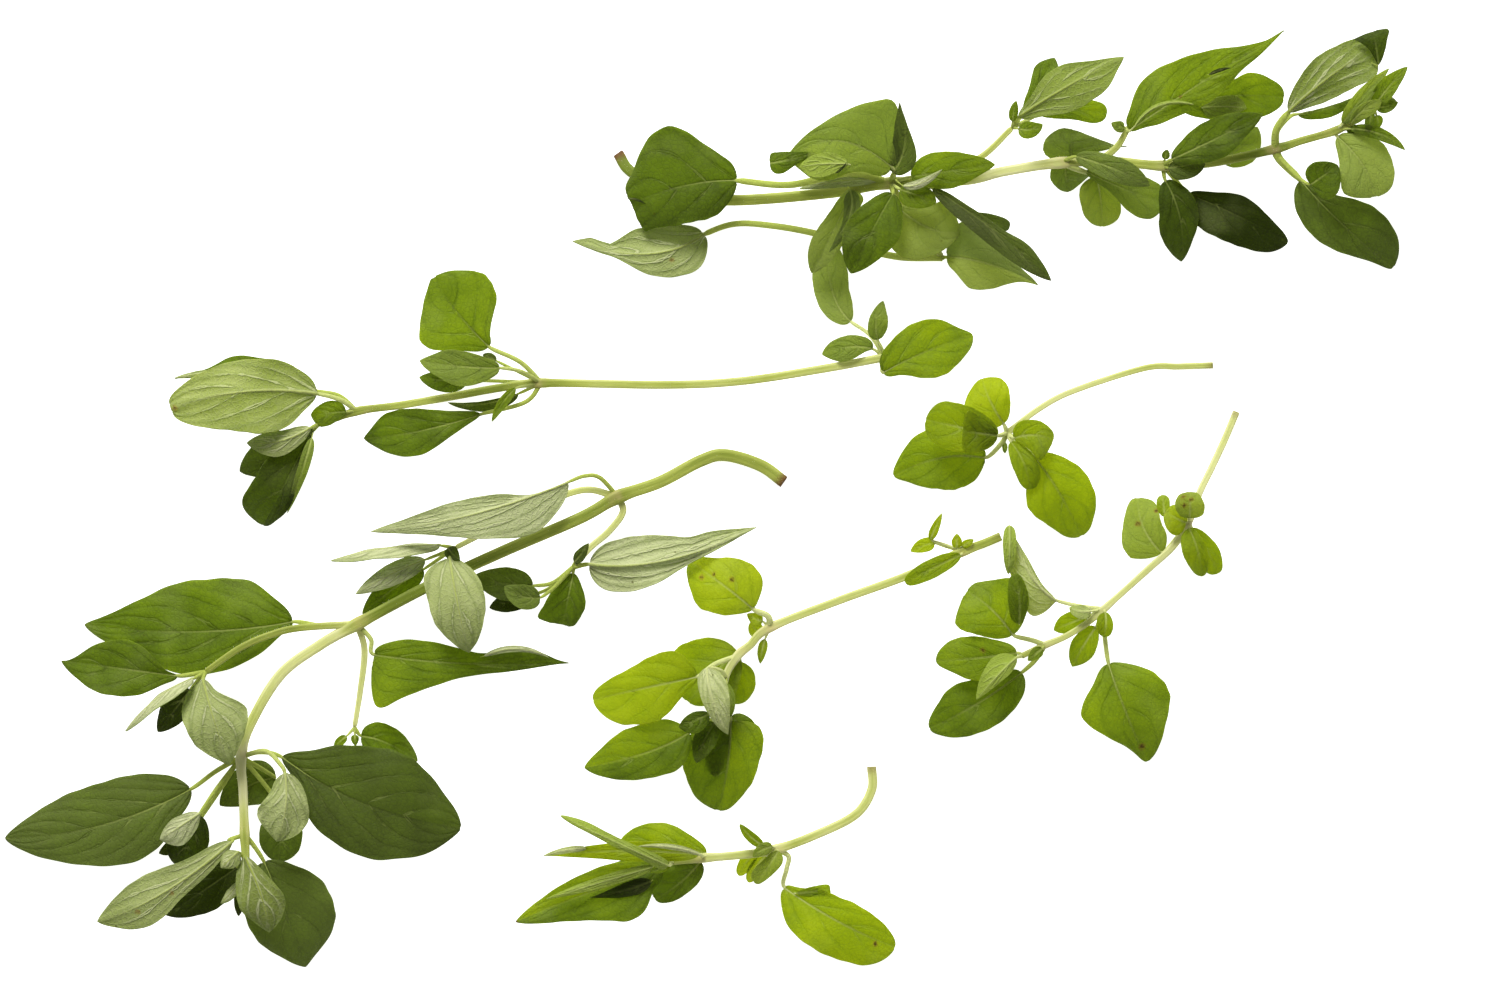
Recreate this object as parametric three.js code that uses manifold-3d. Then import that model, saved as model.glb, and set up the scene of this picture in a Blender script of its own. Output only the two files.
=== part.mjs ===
// A cut bunch of fresh oregano, spread out flat: seven loose leafy sprigs lying on the plane z = 0.
// Millimetres, +Z up. Each sprig grew as one piece, so its stem, side shoots and leaves are one solid.
import * as THREE from 'three';
import Module from 'manifold-3d';

const wasm = await Module();
wasm.setup();

// Driving dimensions
const BLADE_THICKNESS = 0.6;
const STALK_ROOT_RADIUS = 0.45;
const STALK_END_RADIUS = 0.38;
const STALK_AIM = 0.2; // share of the midrib that a stalk's curve aims along
const STEM_STEPS = 2; // rings between two points of a stem
const LATE_TAPER = 2; // above 1 a stem keeps its root's width for longer
const BLUNT_END = 0.006; // share of the midrib where a blade's ends are cut square
const LONG_BLADE = 17;
const MIDDLE_BLADE = 9;
const SHORT_BLADE = 4.5; // blades shorter than this are flat, the others fold along their midrib
const PLAIN_SHAPE = { roll: 0, twist: 0, fold: 10, round: 0.5, sharp: 0.8 };
const ROWS = { long: 7, middle: 5, short: 4, least: 3 }; // rows of faces along a blade
const SURFACE_SIDE = 400;
const BELOW = 10; // how far down everything under the surface is cleared
const LEVELLED = 0.11; // corners nearer than this to flat are merged away
const LOOSE_SCRAP = 0.05; // largest scrap in cubic millimetres that may be dropped

const UP = new THREE.Vector3(0, 0, 1);
const point = ([x, y, z]) => new THREE.Vector3(x, y, z);

// A stem or side shoot through its points. Its half width goes from root to tip, late rather than early.
function stem(points, root, tip) {
  return { points, root, tip };
}

// A leaf on a stalk that leaves the stem at from, passes through via and enters the blade at base.
// roll turns the blade about its midrib (0 has the upper face up, 180 the underside), twist adds
// to that from base to tip, and fold lifts both halves. round and sharp shape the two ends.
function leaf(from, via, base, mid, tip, width, shape = {}) {
  return { from, via, base, mid, tip, width, ...PLAIN_SHAPE, ...shape };
}

function through(points) {
  return new THREE.CatmullRomCurve3(points.map(point), false, 'catmullrom', 0.5);
}

// The midrib is the parabola through the blade's base, middle and tip.
function midribOf({ base, mid, tip }) {
  const bend = point(mid).multiplyScalar(2);
  bend.addScaledVector(point(base), -0.5).addScaledVector(point(tip), -0.5);
  return new THREE.QuadraticBezierCurve3(point(base), bend, point(tip));
}

// Right and up across a curve that runs along tangent, turned about it by roll degrees.
function frameAcross(tangent, roll) {
  const right = tangent.clone().cross(UP).normalize();
  const up = right.clone().cross(tangent).normalize();
  const angle = THREE.MathUtils.degToRad(roll);
  return {
    right: right.clone().multiplyScalar(Math.cos(angle)).addScaledVector(up, Math.sin(angle)),
    up: up.clone().multiplyScalar(Math.cos(angle)).addScaledVector(right, -Math.sin(angle)),
  };
}

// Half the width of a blade at t, as a share of half its greatest width.
function outline(t, round, sharp) {
  const widest = round / (round + sharp);
  return (t / widest) ** round * ((1 - t) / (1 - widest)) ** sharp;
}

// A ring of a stem or stalk: its upper edge from left to right, then its lower edge back.
function stalkRing(centre, { right, up }, radius, strips) {
  const corners = 2 * (strips + 1);
  return Array.from({ length: corners }, (_, k) => {
    const angle = Math.PI - (2 * Math.PI * (k + 0.5)) / corners;
    const place = centre.clone().addScaledVector(right, radius * Math.cos(angle));
    return place.addScaledVector(up, radius * Math.sin(angle));
  });
}

// A ring of a blade: its upper face from edge to edge, then its lower face back.
function bladeRing(centre, { right, up }, half, fold, strips) {
  const cos = Math.cos(fold);
  const sin = Math.sin(fold);
  const upper = [];
  const lower = [];
  for (let j = 0; j <= strips; j += 1) {
    const v = (2 * j) / strips - 1;
    const place = centre.clone().addScaledVector(right, v * half * cos);
    place.addScaledVector(up, Math.abs(v) * half * sin);
    const offset = up.clone().divideScalar(cos);
    if (v !== 0) offset.multiplyScalar(cos * cos).addScaledVector(right, -Math.sign(v) * sin);
    upper.push(place.clone().addScaledVector(offset, BLADE_THICKNESS / 2));
    lower.unshift(place.addScaledVector(offset, -BLADE_THICKNESS / 2));
  }
  return [...upper, ...lower];
}

// A closed solid over rings of equal length. Each strip of the upper and of the lower face is split
// along the same diagonal, so that the two faces of a twisting blade can't cross.
function skin(rings) {
  const corners = rings[0].length;
  const strips = corners / 2 - 1;
  const last = (rings.length - 1) * corners;
  const triangles = [];
  for (let i = 0; i < last; i += corners) {
    for (let k = 0; k < corners; k += 1) {
      const next = (k + 1) % corners;
      const [a, b, c, d] = [i + k, i + k + corners, i + next + corners, i + next];
      if (k < strips) triangles.push(a, c, b, a, d, c);
      else triangles.push(a, d, b, d, c, b);
    }
  }
  for (let k = 0; k < strips; k += 1) {
    const [a, b, c, d] = [k, k + 1, corners - 2 - k, corners - 1 - k];
    triangles.push(a, d, c, a, c, b);
    triangles.push(last + a, last + c, last + d, last + a, last + b, last + c);
  }
  return new wasm.Manifold(
    new wasm.Mesh({
      numProp: 3,
      vertProperties: new Float32Array(rings.flat().flatMap((place) => place.toArray())),
      triVerts: new Uint32Array(triangles),
    }),
  );
}

// Oregano has square stems, so a stem has four flat sides.
function stemSolid({ points, root, tip }) {
  const curve = through(points);
  const steps = (points.length - 1) * STEM_STEPS;
  const rings = [];
  for (let i = 0; i <= steps; i += 1) {
    const t = i / steps;
    const radius = Math.SQRT2 * THREE.MathUtils.lerp(root, tip, t ** LATE_TAPER);
    rings.push(stalkRing(curve.getPoint(t), frameAcross(curve.getTangent(t), 0), radius, 1));
  }
  return skin(rings);
}

function rowsOf(length) {
  if (length > LONG_BLADE) return ROWS.long;
  if (length > MIDDLE_BLADE) return ROWS.middle;
  return length > SHORT_BLADE ? ROWS.short : ROWS.least;
}

// A leaf's stalk and blade are one skin: rings along the stalk, then rings along the midrib.
function leafSolid(spec) {
  const midrib = midribOf(spec);
  const length = midrib.getLength();
  const strips = length > SHORT_BLADE ? 2 : 1;
  const route = through([spec.from, ...spec.via, spec.base, midrib.getPoint(STALK_AIM).toArray()]);
  const spans = spec.via.length + 1;
  const rings = [];
  for (let i = 0; i < spans; i += 1) {
    const t = i / (spans + 1);
    const radius = THREE.MathUtils.lerp(STALK_ROOT_RADIUS, STALK_END_RADIUS, i / spans);
    rings.push(stalkRing(route.getPoint(t), frameAcross(route.getTangent(t), spec.roll), radius, strips));
  }
  const rows = rowsOf(length);
  const fold = THREE.MathUtils.degToRad(strips > 1 ? spec.fold : 0);
  for (let i = 0; i <= rows; i += 1) {
    const even = (1 - Math.cos((Math.PI * i) / rows)) / 2;
    const t = THREE.MathUtils.clamp(even, BLUNT_END, 1 - BLUNT_END);
    const frame = frameAcross(midrib.getTangent(t), spec.roll + spec.twist * t);
    const half = (spec.width / 2) * outline(t, spec.round, spec.sharp);
    rings.push(bladeRing(midrib.getPoint(t), frame, half, fold, strips));
  }
  return skin(rings);
}

// Everything below the surface that the bunch lies on, to cut small flats where a sprig touches it.
function underSurface() {
  const slab = new THREE.BoxGeometry(SURFACE_SIDE, SURFACE_SIDE, BELOW).translate(0, 0, -BELOW / 2);
  const corners = slab.toNonIndexed().getAttribute('position').array;
  const mesh = new wasm.Mesh({
    numProp: 3,
    vertProperties: new Float32Array(corners),
    triVerts: Uint32Array.from({ length: corners.length / 3 }, (_, i) => i),
  });
  mesh.merge();
  return new wasm.Manifold(mesh);
}

// One sprig: its stems and leaves joined into one solid, with flats where it rests.
function sprig(name, { stems, leaves }, colour) {
  const pieces = [...stems.map(stemSolid), ...leaves.map(leafSolid)];
  const whole = wasm.Manifold.union(pieces).subtract(underSurface()).simplify(LEVELLED);
  const bodies = whole.decompose().sort((a, b) => b.volume() - a.volume());
  if (bodies.slice(1).some((body) => body.volume() > LOOSE_SCRAP)) {
    throw new Error(`${name} has a loose leaf`);
  }
  const { vertProperties, triVerts } = bodies[0].getMesh();
  const geometry = new THREE.BufferGeometry();
  geometry.setAttribute('position', new THREE.BufferAttribute(vertProperties, 3));
  geometry.setIndex(new THREE.BufferAttribute(triVerts, 1));
  geometry.computeVertexNormals();
  const material = new THREE.MeshStandardMaterial({ color: colour, roughness: 0.6, metalness: 0 });
  const mesh = new THREE.Mesh(geometry, material);
  mesh.name = name;
  return mesh;
}

// The broad sprig, bottom left
function broadSprig() {
  const joint1 = [-14.5, 0.5, 5];
  const joint2 = [-58, -20.7, 5.6];
  const joint3 = [-77.3, -42.8, 6.2];
  const joint4 = [-76.7, -55.8, 6.6];
  const tip = [-76.5, -60, 7.4];
  const backShoot = [-41.7, -8, 6];
  const lowShoot = [-22, -11.2, 4.6];
  const leftShoot = [-83.3, -28.7, 8.2];
  const thinShoot = [-58.5, -38, 3];
  return {
    stems: [
      stem([[13.2, 3, 0.95], [9.2, 5.8, 0.95], [3.3, 7.5, 1.6], [-0.8, 6.5, 2.4], [-7.5, 3, 3.6], joint1,
        [-20.8, -3, 5.4], [-34, -8.7, 5.6], [-45.8, -14.2, 5.6], joint2, [-64.2, -24.2, 5.8],
        [-70.8, -29.2, 6], [-75.8, -37.5, 6.2], joint3, [-77, -48.3, 6.2], joint4, tip], 1.12, 0.5),
      stem([joint1, [-20.8, 1.6, 4.8], [-31, -2.6, 4.6], backShoot], 0.6, 0.45),
      stem([joint1, [-13.7, -2, 4.6], [-16, -5.2, 4.5], [-19.2, -8, 4.5], lowShoot], 0.6, 0.5),
      stem([joint2, [-67.5, -21.3, 6.8], [-72.5, -22.5, 7.8], [-77.5, -24.7, 8.4], leftShoot], 0.62, 0.5),
      stem([joint2, [-56.8, -25, 4], [-57.5, -31.7, 3.2], thinShoot], 0.55, 0.42),
    ],
    leaves: [
      // First joint: a long leaf underside up, with a shoot of smaller ones behind it
      leaf(joint1, [[-17.5, 3.7, 7], [-20, 4, 8]], [-23.3, 3, 8.5], [-38.8, -2.8, 11.5], [-55.7, -5.5, 9],
        7.3, { roll: 172, fold: 14, round: 0.62 }),
      leaf(backShoot, [], [-44.2, -7.6, 6.5], [-53.5, -8.3, 8.6], [-62.3, -10.2, 8], 4.6,
        { roll: 120, fold: 25 }),
      leaf(backShoot, [], [-46.7, -10, 5.6], [-52.5, -12.5, 6.6], [-58.2, -15.7, 6], 4.2,
        { roll: 165, fold: 22 }),
      leaf(backShoot, [], [-47, -11.6, 3.6], [-52.5, -15.2, 3.6], [-57.2, -19, 2.4], 4.6),
      leaf(backShoot, [], [-42.8, -8, 7], [-42, -9, 8], [-40.8, -10, 8.6], 2.4),
      leaf(backShoot, [], [-42.5, -9.7, 8], [-41.7, -17.5, 11.5], [-39.2, -25.3, 8.6], 9.8,
        { roll: 180, fold: 12, round: 0.55 }),
      // Its lower shoot: a broad leaf that twists to its tip, and small dark ones
      leaf(lowShoot, [], [-19.5, -11, 5.4], [-5.8, -8.9, 7.4], [8.7, -4.5, 6.4], 9.4,
        { roll: 176, twist: 48, fold: 12, round: 0.5, sharp: 1.6 }),
      leaf(lowShoot, [], [-22.5, -12.4, 4], [-23.6, -16.5, 3.6], [-24, -20.6, 1.4], 7.6, { sharp: 0.4 }),
      leaf(lowShoot, [], [-21.8, -10.4, 5.2], [-20.6, -9, 6.4], [-19.4, -7.2, 7.2], 2, { roll: 20 }),
      leaf(lowShoot, [[-25.4, -13.8, 4.2]], [-28.7, -14.3, 4.2], [-33.8, -13.9, 4.2], [-38.8, -12.8, 2.4],
        5.7),
      leaf(lowShoot, [[-25.8, -14.6, 3]], [-29.2, -16, 2.6], [-32.7, -17, 2.2], [-36, -18, 0.8], 3.6),
      leaf(lowShoot, [[-25.2, -14.6, 5]], [-27.5, -16.3, 6], [-30.6, -16, 7.2], [-33.4, -14.4, 7], 4.4,
        { fold: 20 }),
      // Second joint, left: a broad dark leaf under a shoot with five more
      leaf(joint2, [[-63.5, -21, 5.6]], [-68.3, -21, 5], [-86, -21.3, 4.8], [-103.8, -21, 0.6], 15.8,
        { fold: 5 }),
      leaf(leftShoot, [], [-87.8, -29.5, 8.6], [-97.5, -28.6, 10], [-107.3, -26.8, 6.4], 9.8),
      leaf(leftShoot, [], [-85.2, -29.8, 10.8], [-91.4, -33.4, 13.2], [-96.3, -38.5, 10.8], 4.2,
        { roll: 118, fold: 25 }),
      leaf(leftShoot, [], [-85.8, -31.6, 6.4], [-88.6, -35.2, 5.2], [-91.3, -38.7, 2.6], 4.8),
      leaf(leftShoot, [], [-83.5, -30, 9.6], [-81.5, -36.2, 12.6], [-79.2, -44.2, 10.4], 10.6,
        { roll: 180, fold: 12 }),
      // Second joint, right: a leaf that narrows to a long twisted tip
      leaf(joint2, [[-55.7, -23.2, 5.8]], [-55.2, -27.6, 6], [-39.2, -27.9, 5.8], [-22.8, -27.2, 2.4], 10.4,
        { roll: 8, twist: -40, fold: 8, round: 0.34, sharp: 1.9 }),
      leaf(thinShoot, [], [-59.8, -39.4, 3], [-61, -40.4, 2.8], [-61.9, -41.4, 2.2], 1.6),
      leaf(thinShoot, [], [-58.4, -39.2, 3.4], [-58.4, -40, 3.6], [-58.3, -41, 3.2], 1.4),
      leaf(thinShoot, [], [-57.4, -39.4, 2.6], [-53, -40.6, 2.2], [-48, -43.6, 1], 6),
      // Third joint: two broad dark leaves, side shoots with pale ones, and dark leaves below
      leaf(joint3, [[-81.5, -45.2, 6.4]], [-85.5, -47.8, 6.2], [-100.6, -54.5, 5.8], [-117, -56.3, 0.4],
        12.8, { fold: 6, round: 0.6 }),
      leaf(joint3, [[-74.2, -42, 7]], [-71, -43, 7.4], [-56.4, -51, 9.4], [-40.7, -54.6, 4.4], 17.8,
        { fold: 6, round: 0.62, sharp: 0.7 }),
      leaf(joint3, [[-81.2, -47.8, 7.4]], [-84.5, -52, 8.8], [-87.6, -53.6, 10.4], [-90.7, -55.5, 10], 4,
        { roll: 165, fold: 25 }),
      leaf(joint3, [[-81, -48.2, 5]], [-84.2, -52.6, 4], [-86.4, -57, 3.4], [-87.2, -61.3, 1], 7.2,
        { sharp: 0.6 }),
      leaf(joint3, [[-81, -48.6, 4.2]], [-86.6, -56.6, 1.8], [-89, -58, 1.4], [-91.2, -59, 0.6], 2.6),
      leaf(joint3, [[-73.2, -41.8, 8.6], [-70.6, -44, 11.6]], [-69.8, -48.3, 12.6], [-69.6, -52.6, 14],
        [-70.8, -56.9, 12.4], 8.2, { roll: 180, fold: 16 }),
      leaf(joint3, [], [-71.6, -46.4, 3.4], [-76, -47.6, 3], [-81, -51, 1.6], 7.4),
      leaf(joint3, [[-73, -48, 4.6]], [-70.6, -52, 3.4], [-70.8, -56, 2.6], [-71.3, -60.3, 0.8], 7.4,
        { sharp: 0.5 }),
      // Fourth joint and tip
      leaf(joint4, [[-79.2, -56.6, 7.6]], [-81.7, -59.2, 8.6], [-90, -66, 10.6], [-101, -70.2, 7.6], 6.8,
        { roll: 170, fold: 16 }),
      leaf(tip, [], [-78, -61.2, 5.4], [-84, -65.4, 4.4], [-90, -69.3, 1.6], 7.6),
      leaf(tip, [], [-77.6, -58.6, 9.4], [-79, -59.8, 11], [-80.5, -61.2, 11.4], 3.6,
        { roll: 170, fold: 25 }),
      leaf(tip, [], [-76.4, -60.4, 9.4], [-74, -66.3, 12.2], [-72.5, -71.8, 10], 8.2,
        { roll: 180, fold: 12 }),
      leaf(tip, [], [-77.4, -63.6, 7.2], [-79, -65.6, 7.8], [-80.6, -67.2, 7], 2, { roll: 150 }),
      leaf(joint4, [[-75.2, -57.6, 6.2]], [-73.8, -60, 5.8], [-69.2, -69.2, 5.4], [-66.8, -78, 0.4], 14.4,
        { fold: 6 }),
      leaf(tip, [], [-77.2, -64.6, 5.6], [-77.6, -67, 5], [-77.8, -69.4, 3.8], 2),
    ],
  };
}

// The long sprig, top right
function longSprig() {
  const joint1 = [30.8, 52.8, 6];
  const joint2 = [59.2, 56.2, 6.6];
  const joint3 = [76.3, 55.7, 6.4];
  const joint4 = [95, 58.5, 6.4];
  const joint5 = [105, 61.5, 8.4];
  const tip = [111.4, 64.8, 10];
  const lowShoot = [39.6, 40.4, 4];
  const branchEnd = [51.2, 62, 9.4];
  const shootEnd = [70.5, 62, 8.4];
  return {
    stems: [
      stem([[-14.5, 57.8, 0.7], [-12.2, 54.7, 1.4], [-5, 51, 2.4], [5, 50, 3.6], [20.8, 51.2, 5], joint1,
        [43.3, 53.3, 6.4], [50, 54.8, 6.6], joint2, [68, 56.4, 6.6], joint3, [85, 56.3, 6.2], joint4,
        [99.2, 59.8, 7], joint5, [108.5, 63.4, 9.4], tip], 0.85, 0.42),
      stem([joint1, [34.5, 47, 4.6], lowShoot], 0.6, 0.5),
      stem([joint1, [38.5, 53.8, 8], [45.8, 57, 8.8], branchEnd], 0.6, 0.5),
      stem([joint2, [64.8, 56.4, 7.6], [68.4, 58.6, 8], shootEnd], 0.62, 0.5),
    ],
    leaves: [
      // Behind the cut end: a broad dark leaf and a pale one, both on long stalks
      leaf(joint1, [[24.2, 54.5, 7.6], [14.2, 52.5, 7.8]], [5.3, 53.1, 7.6], [-3.6, 54, 8.4],
        [-12.6, 51.6, 5.4], 16.8, { fold: 8, round: 0.55, sharp: 0.35 }),
      leaf(lowShoot, [[30.8, 40.8, 3.2], [18.7, 44.2, 3]], [-0.8, 45.6, 3.2], [-9.4, 41.1, 4.4],
        [-22.2, 43, 0.6], 8.8, { roll: 176, fold: 8, round: 0.42, sharp: 0.9 }),
      // First joint: a broad light leaf folded at its base, leaves above and below the stem
      leaf(joint1, [[31.6, 54.6, 8]], [31.8, 58, 10], [22.4, 60.2, 14.6], [11.2, 56.4, 11], 13.2,
        { roll: -6, fold: 10, round: 0.3, sharp: 0.65 }),
      leaf(joint1, [], [33.2, 55.8, 8.4], [33.6, 61, 11.6], [32.2, 66.2, 13.4], 4.4,
        { roll: 55, fold: 10 }),
      leaf(joint1, [], [33.3, 52.5, 8.8], [41, 55.2, 11.4], [48.3, 55.8, 9.4], 6.4, { fold: 8 }),
      leaf(joint1, [[27.6, 52.2, 6]], [24.8, 51.8, 6], [21.6, 45.3, 8], [17.7, 37.8, 4.4], 7.8,
        { fold: 24, roll: 10 }),
      leaf(joint1, [], [31.2, 50.6, 9], [27.6, 44.6, 11.6], [24.5, 38, 9.4], 8, { fold: 12 }),
      leaf(joint1, [], [32.6, 49.4, 6.6], [37.8, 47, 7.6], [42.8, 45.6, 5.8], 8.4, { fold: 6 }),
      leaf(joint1, [], [32.6, 50.9, 10], [35.5, 50.3, 11.2], [38.3, 49.2, 11.2], 2.6, { fold: 25 }),
      leaf(joint1, [[34.6, 52.4, 8.2]], [37.5, 51.6, 9.6], [48, 44.6, 10.6], [57.5, 36.7, 7.4], 6,
        { fold: 24 }),
      leaf(lowShoot, [], [40.6, 40.2, 3.8], [48.2, 38.6, 4.6], [55.7, 36, 0.4], 7.8),
      leaf(joint1, [[36, 50, 5.8]], [42.6, 48.4, 4.6], [46.4, 47.6, 4.2], [50.2, 46, 2.4], 3.4),
      // The side branch above
      leaf(branchEnd, [], [52.5, 63.7, 10], [60.6, 68, 13.2], [69.5, 73.7, 10.4], 7.8,
        { roll: 174, fold: 10 }),
      leaf(branchEnd, [], [53, 64.8, 7.6], [56, 69.4, 7.4], [57.6, 73.8, 5], 6.2),
      leaf(branchEnd, [], [54.4, 63.4, 6.6], [61, 65, 5.8], [67, 64.7, 3.6], 5.6),
      leaf(branchEnd, [], [52.4, 61.9, 10], [54.4, 62.1, 11], [56.2, 62.8, 11], 2.6),
      leaf(branchEnd, [], [51.2, 63, 10.4], [51.4, 64.8, 11.4], [51.8, 66.4, 12], 1.6),
      // Second joint
      leaf(joint2, [], [60.2, 56.8, 5.6], [60.8, 59.6, 5.4], [61.6, 62.4, 4], 7.6, { sharp: 0.5 }),
      leaf(joint2, [], [59.8, 56, 5], [59.8, 54, 4], [60.6, 51.4, 2], 6.8, { sharp: 0.5 }),
      leaf(joint2, [], [61.8, 56.8, 9], [68.4, 55.7, 12], [74, 52.3, 10.6], 4.4),
      leaf(joint2, [[62, 55, 5.6]], [65, 54.2, 4.6], [66, 50, 3.4], [66.2, 45.7, 0.6], 7, { sharp: 0.6 }),
      leaf(joint2, [], [63.3, 54.6, 7.6], [70, 51, 7.4], [76.8, 49, 4], 7),
      leaf(shootEnd, [], [69.8, 62, 9], [68.8, 62.2, 9.8], [67.6, 62.8, 10], 2),
      leaf(shootEnd, [], [71, 62.8, 9.6], [82, 68.8, 13.4], [96.5, 78.2, 9.4], 9.4, { fold: 12, sharp: 1 }),
      leaf(shootEnd, [], [79.2, 65.3, 7.6], [88.4, 67.6, 7.6], [96.4, 67.4, 4.6], 8.2, { sharp: 0.55 }),
      // Third joint
      leaf(joint3, [], [77.8, 57, 8.8], [85.6, 60.2, 11.6], [92.9, 64.3, 10.4], 6.6, { fold: 8 }),
      leaf(joint3, [], [78.4, 55.2, 8], [81, 55.2, 8.4], [83.4, 55.8, 8], 2.4),
      leaf(joint3, [[81, 56.8, 5]], [86, 57, 3.8], [89.4, 58.8, 3.2], [91.8, 62, 1.4], 6),
      leaf(joint3, [], [76.5, 53.4, 6.4], [79.1, 46.9, 6], [79.6, 40, 1.4], 7, { fold: 12 }),
      leaf(joint3, [[78.4, 53.4, 5.2]], [80.8, 51, 4.4], [89.2, 47.4, 4.8], [97.3, 43, 1.2], 7.8),
      leaf(joint3, [], [76.6, 56.8, 7.4], [76.8, 57.6, 8], [77, 58.4, 8.2], 1.4),
      // Fourth joint
      leaf(joint4, [[95.2, 61.7, 8]], [97, 65, 9.4], [103.9, 70.4, 12.6], [111.6, 77, 11.4], 8.8,
        { roll: 176, fold: 8, sharp: 0.6 }),
      leaf(joint4, [[95.8, 61.2, 7]], [98.4, 64.6, 6.6], [103.4, 66.4, 6], [108.6, 67.2, 3.6], 5.2),
      leaf(joint4, [[95.9, 56, 6.2]], [99.6, 53.4, 5.6], [107.2, 46, 5.4], [114.7, 38.7, 0.4], 12.8,
        { fold: 8 }),
      leaf(joint4, [[98, 55.8, 7.4]], [100.8, 52.4, 9.4], [102.8, 54, 10.8], [105, 55.8, 10.8], 4.2,
        { fold: 25 }),
      // Fifth joint and the narrow leaves and buds of the tip
      leaf(joint5, [], [105.6, 60.5, 8.6], [110, 55.9, 9.8], [110.6, 50.2, 8.4], 8.4,
        { fold: 8, sharp: 0.6 }),
      leaf(joint5, [], [106.9, 62.9, 9.8], [110.4, 67, 12.4], [113.8, 71.8, 12.8], 3, { fold: 20 }),
      leaf(tip, [], [112.1, 65.6, 11.8], [114.6, 68.8, 14], [116.8, 72, 14], 3, { fold: 20 }),
      leaf(joint5, [[107, 63.4, 9.6]], [109.4, 64.9, 9.4], [112.4, 66.4, 9], [115.3, 66.2, 7.8], 2.6,
        { fold: 20 }),
      leaf(joint5, [], [107.5, 61.8, 9.8], [112.4, 60.8, 11.8], [116.5, 58.2, 11], 2.2),
      leaf(tip, [], [111.8, 64, 9.6], [112, 63, 9.8], [112, 61.8, 9.4], 1.8),
      leaf(tip, [], [110.9, 64.6, 10.6], [110.6, 62.6, 11], [110.4, 60.8, 10.8], 1.8),
    ],
  };
}

// The sprig in the middle left, with a long bare stem
function middleSprig() {
  const joint1 = [30, 23.8, 3.4];
  const joint2 = [-27.3, 19.5, 5.2];
  const joint3 = [-58, 14.8, 5.4];
  const tip = [-64.4, 12.6, 5.8];
  return {
    stems: [
      stem([joint1, [19.2, 21.8, 3.6], [5.8, 19.8, 4], [-7, 19.2, 4.4], joint2, [-34.2, 18.7, 5.4],
        [-42.5, 17.2, 5.4], [-50.8, 15.8, 5.4], joint3, tip], 0.76, 0.52),
    ],
    leaves: [
      // Right end: a bright leaf, two small ones, and a hanging one that reaches under the long sprig
      leaf(joint1, [], [30.3, 21.9, 3.8], [37.5, 25.3, 5.6], [44.7, 27.7, 1.4], 10.2, { sharp: 0.65 }),
      leaf(joint1, [[29.4, 25.4, 4.4]], [28.9, 26.8, 5], [29.4, 30, 6.6], [30.4, 33.6, 6], 3.6),
      leaf(joint1, [], [28, 25.2, 4], [24, 26, 5], [19.5, 24.9, 3.6], 3.8),
      leaf(joint1, [[27.5, 27.5, 3]], [24.3, 29.8, 2], [21.2, 35, 1.4], [20.2, 41.4, 0.4], 6, { fold: 4 }),
      // Second joint
      leaf(joint2, [[-30.8, 23, 6.8]], [-35.8, 25.3, 7.2], [-41.6, 30.8, 9], [-45, 37.4, 8.8], 13.2,
        { fold: 8, round: 0.58, sharp: 0.45 }),
      leaf(joint2, [[-30.6, 21.4, 8.2]], [-34.2, 22.1, 9.6], [-41, 22, 11.6], [-47.5, 23, 9.4], 5.8,
        { fold: 22 }),
      leaf(joint2, [], [-34.8, 23.2, 6.8], [-36, 23.8, 6.8], [-37, 24.2, 6.4], 1.6),
      leaf(joint2, [[-33.6, 19.8, 4]], [-39.6, 20, 3.4], [-43.6, 20.4, 3], [-47.6, 20.5, 1.8], 3.4),
      leaf(joint2, [[-30, 16.3, 5.6]], [-36.8, 14.2, 6.6], [-47.2, 11.5, 6.4], [-57, 10.4, 1.6], 8.2,
        { fold: 14, round: 0.65 }),
      leaf(joint2, [], [-30.8, 17.3, 3.8], [-37.2, 16, 3.2], [-43.2, 15.4, 1.8], 4.4),
      leaf(joint2, [], [-31.6, 18.6, 7.4], [-33.8, 16, 8.6], [-35.5, 13, 8.6], 1.8, { fold: 20 }),
      // Third joint: two leaves underside up on the left, a drooping shoot below
      leaf(joint3, [[-60.8, 16.7, 7]], [-64.2, 17.7, 8.2], [-76.7, 15.9, 11], [-89.2, 15.3, 7.4], 10,
        { roll: 176, fold: 8 }),
      leaf(joint3, [[-61, 17.4, 5.4]], [-65, 18.4, 5.4], [-75.5, 20.6, 5.6], [-84.6, 21.4, 3.4], 6.6,
        { fold: 6 }),
      leaf(joint3, [], [-59.4, 14.8, 6.6], [-63, 15.4, 6.8], [-66.7, 14.6, 5.8], 3.8),
      leaf(tip, [], [-66.9, 11.8, 7.8], [-71.8, 11.2, 9], [-76.3, 9.7, 7.4], 3.8, { roll: 165 }),
      leaf(tip, [[-67, 10, 4.2]], [-69.2, 8, 3.6], [-73.6, 7, 3], [-77.5, 4.7, 0.8], 5.2),
      leaf(tip, [], [-65.6, 11, 5.6], [-71.8, 3.2, 6.4], [-74.4, -4, 0.8], 8.2,
        { fold: 24, roll: -14, round: 0.62 }),
    ],
  };
}

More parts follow.
